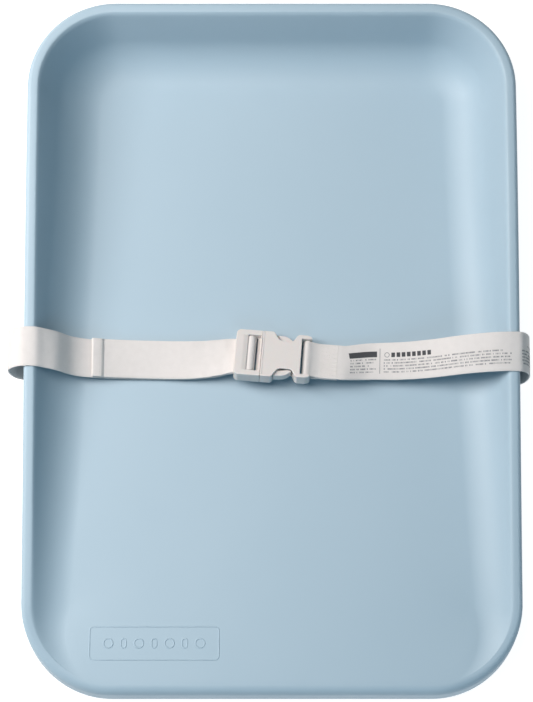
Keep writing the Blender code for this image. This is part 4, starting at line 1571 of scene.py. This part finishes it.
@dataclass
class Band:
    """A length of webbing along a route, with rounded selvedges and a slight ripple."""

    name: str
    stations: list[Station]
    width: float
    thickness: float
    ripple: float = 0.12 * MM
    segments: int = 14

    def section(self) -> list[Pair]:
        """Gives the section, as across and through."""
        half, thick = self.width / 2.0, self.thickness / 2.0
        flat = half - thick * 0.8
        top = [(flat - 2.0 * flat * k / self.segments, thick) for k in range(self.segments + 1)]
        left = [(-flat - thick * 0.6, thick * 0.7), (-half, 0.0), (-flat - thick * 0.6, -thick * 0.7)]
        return top + left + [(-a, -b) for a, b in top] + [(-a, -b) for a, b in left]

    def lengths(self) -> list[float]:
        """Gives the distance along the band at each station."""
        run = [0.0]
        for before, after in zip(self.stations, self.stations[1:]):
            run.append(run[-1] + (after.place - before.place).length)
        return run

    def _bend(self, run: float, across: float) -> float:
        """Gives the ripple through the band's thickness at a place on it."""
        return self.ripple * noise.noise(Vector((run * 38.0, across * 30.0, len(self.name) * 1.7)))

    def build(self, material: bpy.types.Material) -> bpy.types.Object:
        """Makes the band.

        Args:
            material: the weave.

        Returns:
            The band.
        """
        section, run = self.section(), self.lengths()
        rings = []
        for index, station in enumerate(self.stations):
            up = normal_at(self.stations, index)
            fade = ease(min(run[index], run[-1] - run[index]) / (12.0 * MM))
            ring = []
            for across, through in section:
                rise = through + fade * self._bend(run[index], across)
                ring.append(station.place + station.across * across + up * rise)
            rings.append(ring)
        mesh = loft(self.name, rings)
        layer = mesh.uv_layers.new(name="weave")
        count = len(section)
        for loop, corner in zip(mesh.loops, layer.data):
            ring, place = divmod(loop.vertex_index, count)
            corner.uv = (run[ring], section[place][0])
        shade(mesh, 60.0)
        return add_object(self.name, mesh, material)

    def path(self, start: Pair, end: Pair, lift: float, spacing: float = 2.0 * MM) -> Path:
        """Gives a straight line on the band, from one place on it to another.

        Args:
            start: the first place, as along and across.
            end: the last place.
            lift: the height above the band's middle, below it where negative.
            spacing: how far apart the path's points lie.

        Returns:
            The path.
        """
        run = self.lengths()
        side = 1.0 if lift > 0.0 else -1.0
        path = Path()
        length = math.hypot(end[0] - start[0], end[1] - start[1])
        steps = max(2, round(length / spacing))
        for step in range(steps + 1):
            share = step / steps
            along = start[0] + (end[0] - start[0]) * share
            across = start[1] + (end[1] - start[1]) * share
            index = self._index(run, along)
            up = normal_at(self.stations, index)
            place = self._between(run, index, along)
            rise = lift + self._bend(along, across)
            path.add(place + self.stations[index].across * across + up * rise, up * side)
        return path

    @staticmethod
    def _index(run: Sequence[float], along: float) -> int:
        """Finds the station before a place along the band."""
        beyond = next((k for k, reached in enumerate(run) if reached > along), len(run) - 1)
        return max(0, min(len(run) - 2, beyond - 1))

    def _between(self, run: Sequence[float], index: int, along: float) -> Vector:
        """Gives the band's middle at a place between two stations."""
        share = (along - run[index]) / max(run[index + 1] - run[index], 1e-9)
        return self.stations[index].place.lerp(self.stations[index + 1].place, share)

    def along_at(self, x: float) -> float:
        """Gives the distance along the band where it first reaches a place across the tray.

        Args:
            x: the place across the tray.

        Returns:
            The distance from the band's start.
        """
        run = self.lengths()
        nearest = min(range(len(run)), key=lambda k: abs(self.stations[k].place.x - x) + 0.001 * run[k])
        return run[nearest]


@dataclass
class Strap:
    """The webbing's routes over, round and under the tray."""

    tray: Tray
    buckle: BuckleFrame
    y_left: float = -10.5 * MM
    y_right: float = -16.0 * MM
    bulge_left: float = 17.5 * MM
    bulge_right: float = 11.5 * MM
    rise: float = 4.2 * MM
    rise_left: float = 65.0 * MM
    rise_right: float = 135.0 * MM
    tail_length: float = 132.0 * MM
    tail_room: float = 1.1 * MM
    hem_length: float = 11.0 * MM
    hem_press: float = 2.6 * MM
    tail_shift: float = 0.7 * MM

    def straight_y(self, x: float) -> float:
        """Gives the strap's middle on the straight line from rim to rim, below the tray too."""
        return self.y_left + self.rise + (self.y_right - self.y_left) * (x / self.tray.width + 0.5)

    def y_at(self, x: float) -> float:
        """Gives the strap's middle above the tray, where it hangs towards the foot end.

        Args:
            x: the place across the tray.

        Returns:
            The place along the tray.
        """
        inset = self.tray.width / 2.0 - abs(x)
        start = self.rise_left if x < 0.0 else self.rise_right
        risen = ease((start - inset) / (start - self.tray.rim_width / 2.0))
        return self.straight_y(x) - self.rise * (1.0 - risen)

    def on_tray(self, x: float, z: float, lean: float = 0.0, y: float | None = None) -> Station:
        """Gives a station in the tray's frame.

        Args:
            x: the place across the tray.
            z: the height.
            lean: the share of the rail's slope that it leans by.
            y: the place along the tray, where it isn't the strap's own line.

        Returns:
            The station.
        """
        place_y = self.y_at(x) if y is None else y
        across = Vector((0.0, 1.0, lean * self.tray.rail_slope(place_y)))
        return Station(Vector((x, place_y, z)), across.normalized())

    def in_buckle(self, u: float, w: float) -> Station:
        """Gives a station in the buckle's frame."""
        turn = self.buckle.matrix.to_3x3()
        return Station(self.buckle.matrix @ Vector((u, 0.0, w)), turn @ Vector((0.0, 1.0, 0.0)))

    def turned(self, station: Station, share: float) -> Station:
        """Turns a station a share of the way to the buckle's own tilt."""
        tilt = self.buckle.matrix.to_3x3() @ Vector((0.0, 1.0, 0.0))
        return Station(station.place, station.across.lerp(tilt, share).normalized())

    def rim_top(self, side: int) -> float:
        """Gives the height of the webbing's middle on the rim."""
        y = self.straight_y(side * self.tray.width / 2.0)
        return self.tray.rail_height(y) + GAP + self.buckle.webbing_thickness / 2.0

    def outside(self, side: int, bulge: float) -> list[Station]:
        """Gives the stations from the rim's top down the outside to the channel.

        Args:
            side: -1 for the left and 1 for the right.
            bulge: how far the webbing stands out from the tray.

        Returns:
            The stations.
        """
        half, top = self.tray.width / 2.0, self.rim_top(side)
        under = self.tray.base_z + self.buckle.webbing_thickness / 2.0
        rim, out = self.tray.rim_width, half + bulge
        places = [(half - rim * 0.5, top, 1.0), (half + bulge * 0.15, top - 1.3 * MM, 1.0)]
        places += [(half + bulge * 0.62, top - 9.0 * MM, 0.8), (out, top * 0.68, 0.4)]
        places += [(out + 0.4 * MM, top * 0.42, 0.2), (half + bulge * 0.80, top * 0.17, 0.0)]
        places += [(half + bulge * 0.42, under + 2.6 * MM, 0.0)]
        places += [(half - self.tray.wall_draft * 2.0, under, 0.0), (half - rim, under, 0.0)]
        return [self.on_tray(side * x, z, lean, self.straight_y(side * x)) for x, z, lean in places]

    def left(self) -> list[Station]:
        """Gives the load side: round the plug's bar, then to the left rim and below."""
        buckle, half, top = self.buckle, self.tray.width / 2.0, self.rim_top(-1)
        floor = self.tray.floor_thickness
        dish = floor + self.tray.floor_dish
        start = []
        for degrees in (182.0, 150.0, 120.0, 90.0, 60.0, 30.0, 0.0, -28.0):
            angle = math.radians(degrees)
            u = buckle.bar_reach * math.cos(angle) - buckle.centre_bar_back
            start.append(self.in_buckle(u, buckle.centre_bar_lift + buckle.bar_reach * math.sin(angle)))
        low = buckle.load_layer
        start.append(self.in_buckle(1.6 * MM - buckle.centre_bar_back, low + 0.5 * MM))
        start.append(self.in_buckle(-1.5 * MM - buckle.centre_bar_back, low))
        start.append(self.in_buckle(-buckle.plug_length, low))
        run = [
            self.turned(self.on_tray(-60.0 * MM, floor + 8.4 * MM, y=self.y_left - 1.0 * MM), 0.45),
            self.turned(self.on_tray(-84.0 * MM, floor + 6.0 * MM, y=self.y_left - 1.9 * MM), 0.15),
            self.on_tray(-118.0 * MM, floor + 4.2 * MM),
            self.on_tray(-half + 90.0 * MM, dish + 4.2 * MM),
            self.on_tray(-half + 66.0 * MM, dish + 9.6 * MM),
            self.on_tray(-half + 47.0 * MM, dish + 16.8 * MM, 0.3),
            self.on_tray(-half + 32.0 * MM, floor + 0.73 * (top - floor), 0.6),
            self.on_tray(-half + 20.0 * MM, floor + 0.89 * (top - floor), 0.9),
            self.on_tray(-half + 12.5 * MM, top - 0.8 * MM, 1.0),
        ]
        return start + run + self.outside(-1, self.bulge_left)

    def tail(self, load: Sequence[Station]) -> tuple[list[Station], list[Station]]:
        """Gives the tail: out of the plug, back over the load side, and its folded hem.

        Args:
            load: the load side's route, already smooth.

        Returns:
            The tail's stations and the hem's.
        """
        buckle = self.buckle
        low, rear = buckle.tail_layer, -buckle.centre_bar_back - buckle.bar_reach
        inside = [(rear - 0.1 * MM, buckle.centre_bar_lift - 1.0 * MM), (rear - 0.3 * MM, low + 1.5 * MM)]
        inside += [(rear - 1.2 * MM, low + 0.3 * MM), (rear - 3.2 * MM, low)]
        inside += [(-buckle.plug_length - 1.5 * MM, low)]
        start = [self.in_buckle(u, w) for u, w in inside]
        edge = start[-1].place.x - 12.0 * MM
        back = offset(load, -(buckle.webbing_thickness + self.tail_room))
        half = self.tray.width / 2.0
        over = [s for s in back if edge > s.place.x > edge - self.tail_length]
        over = [s for s in over if s.place.z > self.tray.floor_thickness and abs(s.place.x) < half]
        for k, station in enumerate(over):
            station.place += station.across * self.tail_shift * ease(k / len(over))
        route = start + over[::18]
        if over[-1] is not route[-1]:
            route.append(over[-1])
        return route, self._hem(route)

    def _hem(self, route: Sequence[Station]) -> list[Station]:
        """Folds the tail's end up and back over itself.

        Args:
            route: the tail's stations.

        Returns:
            The fold's stations.
        """
        end, across = route[-1].place, route[-1].across
        along = (end - route[-2].place).normalized()
        up = -normal_at(route, len(route) - 1)
        radius = self.buckle.webbing_thickness / 2.0 + 0.08 * MM
        fold = []
        for degrees in (-45.0, 0.0, 45.0, 90.0):
            angle = math.radians(degrees)
            turn = along * (math.cos(angle) * radius) + up * (radius + math.sin(angle) * radius)
            fold.append(Station(end + turn, across))
        top = fold[-1].place
        fold.append(Station(top - along * (self.hem_length - self.hem_press), across))
        fold.append(Station(top - along * self.hem_length - up * 1.3 * MM, across))
        return fold

    def right(self) -> list[Station]:
        """Gives the run from the sewn lap to the right rim and below."""
        half, top, floor = self.tray.width / 2.0, self.rim_top(1), self.tray.floor_thickness
        lap, end = self.buckle.lap_layer, self.buckle.lap_end
        start = [self.in_buckle(end + GAP, lap), self.in_buckle(end + 6.0 * MM, lap - 0.2 * MM)]
        run = [
            self.turned(self.on_tray(half - 150.0 * MM, floor + 11.5 * MM), 0.5),
            self.turned(self.on_tray(half - 118.0 * MM, floor + 0.31 * (top - floor)), 0.18),
            self.on_tray(half - 88.0 * MM, floor + 0.48 * (top - floor)),
            self.on_tray(half - 60.0 * MM, floor + 0.74 * (top - floor), 0.5),
            self.on_tray(half - 38.0 * MM, floor + 0.90 * (top - floor), 0.8),
            self.on_tray(half - 20.0 * MM, top - 0.7 * MM, 1.0),
        ]
        return start + run + self.outside(1, self.bulge_right)

    def loop(self) -> list[Station]:
        """Gives the sewn loop: the lap's lower layer, round the bar, and its upper layer."""
        buckle = self.buckle
        radius, upper, bar = buckle.loop_reach, buckle.lap_layer, buckle.socket_bar_at
        lower = upper - buckle.webbing_thickness - 1.4 * GAP
        pairs = [(buckle.lap_end, lower), (bar + 14.0 * MM, lower), (bar + 8.0 * MM, lower - 0.5 * MM)]
        for degrees in (-75.0, -115.0, -150.0, 180.0, 145.0, 110.0, 75.0):
            angle = math.radians(degrees)
            pairs.append((bar + radius * math.cos(angle), radius * math.sin(angle)))
        pairs += [(bar + 6.5 * MM, upper + 1.7 * MM), (bar + 14.0 * MM, upper), (buckle.lap_end, upper)]
        return [self.in_buckle(u, w) for u, w in pairs]

    def under(self) -> list[Station]:
        """Gives the stretch that crosses below the tray, in its channel."""
        reach = self.tray.width / 2.0 - self.tray.rim_width - GAP
        height = self.tray.base_z + self.buckle.webbing_thickness / 2.0
        return [self.on_tray(x, height, y=self.straight_y(x)) for x in (-reach, 0.0, reach)]

    def band(self, name: str, stations: Sequence[Station], spacing: float = 0.9 * MM) -> Band:
        """Makes a band of the strap's own width on a route."""
        route = smooth_route(stations, spacing)
        return Band(name, route, self.buckle.webbing_width, self.buckle.webbing_thickness)


@dataclass(frozen=True)
class PrintedBlock:
    """A dark mark of bars side by side: its ends as x on the tray, and its place across."""

    name: str
    start: float
    end: float
    across: float
    tall: float
    count: int
    share: float


@dataclass(frozen=True)
class PrintPlan:
    """The plain print of the right run, with x on the tray and places from the webbing's middle."""

    lift: float = 0.05 * MM
    thickness: float = 0.14 * MM
    blocks: tuple[PrintedBlock, ...] = (
        PrintedBlock("print_block", 80.0 * MM, 106.0 * MM, 7.4 * MM, 6.2 * MM, 12, 1.25),
        PrintedBlock("print_heading", 124.0 * MM, 160.0 * MM, 6.6 * MM, 4.8 * MM, 8, 0.80),
    )
    ring_middle: Pair = (118.0 * MM, 6.6 * MM)
    ring_radius: float = 2.4 * MM
    ring_steps: int = 24
    rules: Pair = (110.5 * MM, 246.0 * MM)
    rule_reach: float = 13.0 * MM
    rule_pitch: float = 0.8 * MM
    rule_dash: Pair = (0.9 * MM, 0.60 * MM)
    lines: int = 5
    address: Pair = (80.5 * MM, 106.0 * MM)
    address_top: float = 1.8 * MM
    address_pitch: float = 3.4 * MM
    notice: Pair = (115.0 * MM, 240.0 * MM)
    notice_first_end: float = 232.0 * MM
    notice_top: float = 1.2 * MM
    notice_pitch: float = 3.2 * MM
    second_from: float = 252.0 * MM
    second_length: float = 46.0 * MM
    second_heading: tuple[float, float, float] = (10.0 * MM, 40.0 * MM, 6.6 * MM)
    row_pitch: float = 1.35 * MM
    row_dash: Pair = (0.85 * MM, 1.5 * MM)
    spread: float = 0.5
    kept: float = 0.8

    def rows(self, at: Callable[[float], float]) -> list[Pair3]:
        """Gives every row of dashes.

        Args:
            at: turns an x on the tray into a distance along the webbing.

        Returns:
            For each row its start and its end along the webbing, and its place across.
        """
        rows = []
        second = at(self.second_from)
        for k in range(self.lines):
            across = self.address_top - self.address_pitch * k
            rows.append((at(self.address[0]), at(self.address[1] - 3.0 * MM * (k % 3)), across))
            across = self.notice_top - self.notice_pitch * k
            rows.append((at(self.notice[0]), at(self.notice[1] if k else self.notice_first_end), across))
            rows.append((second, second + self.second_length, across))
        start, end, across = self.second_heading
        rows.append((second + start, second + end, across))
        return rows


@dataclass
class StrapPieces:
    """The bands of webbing, their stitching and the printed marks."""

    strap: Strap
    weave: bpy.types.Material
    thread: bpy.types.Material
    dark: bpy.types.Material
    grey: bpy.types.Material
    stitch: Vector = field(default_factory=lambda: Vector((2.2, 0.75, 0.7)) * MM)
    hem_pitch: float = 2.7 * MM
    hem_rows: Pair = (3.6 * MM, 5.4 * MM)
    lap_pitch: float = 2.6 * MM
    lap_teeth: int = 15
    stretch: float = 0.08
    plan: PrintPlan = PrintPlan()

    def build(self) -> None:
        """Makes every piece of the strap, and hands over all but the right run and its print, which stay
        where they are built.
        """
        left = self.strap.band("strap_left", self.strap.left())
        hand_over(left.build(self.weave), Body.PAD, Slot.WEBBING, "webbing_left")
        under = self.strap.band("strap_under", self.strap.under(), 4.0 * MM)
        hand_over(under.build(self.weave), Body.PAD, Slot.WEBBING, "webbing_under")
        self._tail(left)
        self._right()

    def _tail(self, left: Band) -> None:
        """Makes the tail and the stitches of its hem.

        Args:
            left: the band that it lies on.
        """
        flat, fold = self.strap.tail(left.stations)
        band = self.strap.band("strap_tail", flat)
        band.stations += smooth_route([band.stations[-1], *fold], 0.35 * MM)[1:]
        hand_over(band.build(self.weave), Body.PAD, Slot.WEBBING, "webbing_tail")
        whole = band.lengths()[-1]
        reach = band.width / 2.0 - 1.2 * MM
        top = band.thickness / 2.0 + 0.05 * MM
        rows = [self._line(band, whole - back, reach, top) for back in self.hem_rows]
        row = self._stitches("hem_stitches", self.hem_pitch)
        hand_over(row.build(rows), Body.PAD, Slot.THREAD, "tail_hem_stitching")

    def _stitches(self, name: str, pitch: float) -> RepeatRow:
        """Gives a row of stitches in the strap's thread."""
        return RepeatRow(name, Mark.STITCH, pitch, self.stitch, self.thread, self.stretch)

    @staticmethod
    def _line(band: Band, along: float, reach: float, top: float) -> Path:
        """Gives a line straight across a band."""
        return band.path((along, -reach), (along, reach), top)

    def _right(self) -> None:
        """Makes the sewn loop and the right run as one length."""
        loop = self.strap.loop()
        band = self.strap.band("strap_right", loop + self.strap.right()[1:])
        self._follow(band.build(self.weave), Slot.WEBBING, "webbing_socket_loop", "webbing_right")
        self._lap(band, self.strap.band("lap", loop).lengths()[-1])
        self._print(band)

    def _lap(self, band: Band, whole: float) -> None:
        """Sews the lap with a zigzag between two straight rows.

        Args:
            band: the loop and the right run.
            whole: where the lap ends along the band.
        """
        reach = band.width / 2.0 - 1.6 * MM
        top = band.thickness / 2.0 + 0.08 * MM
        start, end = whole - self.strap.buckle.lap_length + 0.5 * MM, whole - 1.5 * MM
        path = Path()
        for k in range(self.lap_teeth):
            low = -reach + 2.0 * reach * k / self.lap_teeth
            high = low + 2.0 * reach / self.lap_teeth
            ends = (start, end) if k % 2 == 0 else (end, start)
            leg = band.path((ends[0], low), (ends[1], high), top, 1.5 * MM)
            path.points += leg.points
            path.facings += leg.facings
        rows = [path]
        rows += [self._line(band, along, reach, top) for along in (start - 0.8 * MM, end + 0.6 * MM)]
        row = self._stitches("lap_stitches", self.lap_pitch)
        hand_over(row.build(rows), Body.SOCKET, Slot.THREAD, "lap_stitching")

    def _follow(self, item: bpy.types.Object, slot: Slot, *nodes: str) -> None:
        """Bakes a piece of the right run in place and hides the plain solids it stands for.

        Args:
            item: the piece.
            slot: the record's slot of its finish; not used.
            nodes: the plain solids that it stands for.
        """
        half = self.strap.tray.width / 2.0
        rim = Vector((half - 24.0 * MM, self.strap.y_right, self.strap.rim_top(1)))
        lap = self.strap.in_buckle(self.strap.buckle.lap_end + 2.0 * MM, self.strap.buckle.lap_layer).place
        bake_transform(item)
        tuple(lap)
        if nodes:
            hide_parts(*nodes)
        LOG.info("%s: %d faces, bends from the pad to the socket", item.name, len(item.data.polygons))

    def _print(self, band: Band) -> None:
        """Prints the plain marks: two blocks, a ring, rules and rows of short dashes.

        Args:
            band: the right run.
        """
        plan, at = self.plan, band.along_at
        ink = band.thickness / 2.0 + plan.lift
        for block_mark in plan.blocks:
            start, end = at(block_mark.start), at(block_mark.end)
            pitch = (end - start) / block_mark.count
            path = band.path((start, block_mark.across), (end, block_mark.across), ink, 1.0 * MM)
            size = Vector((pitch * block_mark.share, block_mark.tall, plan.thickness))
            row = RepeatRow(block_mark.name, Mark.BAR, pitch, size, self.dark)
            self._follow(row.build([path]), Slot.WEBBING)
        rules = [self._ring(band, ink)]
        for x in plan.rules:
            rules.append(band.path((at(x), -plan.rule_reach), (at(x), plan.rule_reach), ink))
        size = Vector((*plan.rule_dash, plan.thickness))
        row = RepeatRow("print_rules", Mark.BAR, plan.rule_pitch, size, self.grey)
        self._follow(row.build(rules), Slot.WEBBING)
        rows = [band.path((start, across), (end, across), ink) for start, end, across in plan.rows(at)]
        size = Vector((*plan.row_dash, plan.thickness))
        row = RepeatRow("print_rows", Mark.BAR, plan.row_pitch, size, self.grey, plan.spread, plan.kept)
        self._follow(row.build(rows), Slot.WEBBING)

    def _ring(self, band: Band, ink: float) -> Path:
        """Gives the small ring in front of the heading.

        Args:
            band: the right run.
            ink: the height of the print above the band's middle.

        Returns:
            The ring's path.
        """
        plan, ring = self.plan, Path()
        x, middle = plan.ring_middle
        for k in range(plan.ring_steps + 1):
            angle = 2.0 * math.pi * k / plan.ring_steps
            along = band.along_at(x) + plan.ring_radius * math.cos(angle)
            across = middle + plan.ring_radius * math.sin(angle)
            leg = band.path((along, across), (along + 0.01 * MM, middle), ink)
            ring.add(leg.points[0], leg.facings[0])
        return ring


# The studio ---------------------------------------------------------------------


@dataclass(frozen=True)
class Lamp:
    """A soft square light that faces the object."""

    name: str
    place: Pair3
    size: float
    power: float
    colour: Colour = (1.0, 1.0, 1.0)

    def hang(self) -> None:
        """Puts the light in the scene."""
        light = bpy.data.lights.new(self.name, "AREA")
        light.shape = "SQUARE"
        light.size, light.energy, light.color = self.size, self.power, self.colour
        item = bpy.data.objects.new(self.name, light)
        item.location = self.place
        item.rotation_euler = (-Vector(self.place)).to_track_quat("-Z", "Y").to_euler()
        bpy.context.scene.collection.objects.link(item)


@dataclass
class Studio:
    """The pale floor, the lights and the camera."""

    focal: float = 112.67
    target: Pair3 = (-5.4 * MM, 5.4 * MM, 0.0)
    elevation: float = math.radians(77.94)
    distance: float = 2.289
    floor_radius: float = 60.0
    floor_colour: Colour = (0.30, 0.30, 0.30)
    floor_glow: float = 0.93
    backdrop: Colour = (0.93, 0.93, 0.93)
    ambient: float = 0.12
    ambient_colour: Colour = (0.25, 0.75, 1.0)
    lamps: tuple[Lamp, ...] = (
        Lamp("key_light", (-1.36, 0.38, 1.30), 0.9, 35.5, (1.0, 0.945, 0.915)),
        Lamp("top_light", (-0.65, 0.25, 2.20), 1.2, 26.5, (1.0, 0.95, 0.92)),
        Lamp("fill_light", (0.30, -1.60, 1.30), 1.2, 7.5, (0.50, 0.78, 1.0)),
    )

    def build(self) -> None:
        """Sets the whole stage."""
        self._floor()
        for lamp in self.lamps:
            lamp.hang()
        self._world()
        self._camera()

    def _floor(self) -> None:
        """Lays the floor."""
        mesh = bpy.data.meshes.new("studio_floor")
        work = bmesh.new()
        bmesh.ops.create_circle(work, cap_ends=True, segments=96, radius=self.floor_radius)
        work.to_mesh(mesh)
        work.free()
        tree = ShaderTree("studio_white")
        tree.shader.inputs["Base Color"].default_value = (*self.floor_colour, 1.0)
        tree.shader.inputs["Roughness"].default_value = 0.9
        tree.shader.inputs["Specular IOR Level"].default_value = 0.1
        tree.shader.inputs["Emission Color"].default_value = (1.0, 1.0, 1.0, 1.0)
        tree.shader.inputs["Emission Strength"].default_value = self.floor_glow
        add_object("studio_floor", mesh, tree.material)

    def _world(self) -> None:
        """Gives the room a weak even light, and a pale backdrop where it shows."""
        world = bpy.data.worlds.new("studio")
        world.use_nodes = True
        nodes, links = world.node_tree.nodes, world.node_tree.links
        room = nodes["Background"]
        room.inputs["Color"].default_value = (*self.ambient_colour, 1.0)
        room.inputs["Strength"].default_value = self.ambient
        shown = nodes.new("ShaderNodeBackground")
        shown.inputs["Color"].default_value = (*self.backdrop, 1.0)
        choose, ray = nodes.new("ShaderNodeMixShader"), nodes.new("ShaderNodeLightPath")
        links.new(ray.outputs["Is Camera Ray"], choose.inputs[0])
        links.new(room.outputs[0], choose.inputs[1])
        links.new(shown.outputs[0], choose.inputs[2])
        links.new(choose.outputs[0], nodes["World Output"].inputs["Surface"])
        bpy.context.scene.world = world

    def _camera(self) -> None:
        """Sets the camera above the foot end, looking down."""
        camera = bpy.data.cameras.new("camera")
        camera.lens = self.focal
        camera.sensor_width = 36.0
        item = bpy.data.objects.new("camera", camera)
        back = Vector((0.0, -math.cos(self.elevation), math.sin(self.elevation)))
        item.location = Vector(self.target) + back * self.distance
        item.rotation_euler = (-back).to_track_quat("-Z", "Y").to_euler()
        bpy.context.scene.collection.objects.link(item)
        bpy.context.scene.camera = item
        bpy.context.scene.view_settings.view_transform = "Standard"


def main() -> None:
    """Builds every piece in order."""
    logging.basicConfig(level=logging.INFO, format="%(message)s")
    Studio().build()
    skin = FoamSkin().material()
    tray = Tray.from_frame()
    tray.build(skin)
    FrameMark(tray).build(skin)
    Feet().build(RUBBER.material())
    buckle = BuckleFrame.from_frame()
    plastic = Moulded().material()
    Plug(buckle).build(plastic)
    socket = Socket(buckle)
    socket.build(plastic)
    for side in (1, -1):
        Prong(buckle, socket=socket, side=side).build(plastic)
    weave, thread = Weave().material(), THREAD.material()
    StrapPieces(Strap(tray, buckle), weave, thread, DARK_INK.material(), GREY_INK.material()).build()


if __name__ == "__main__":
    main()
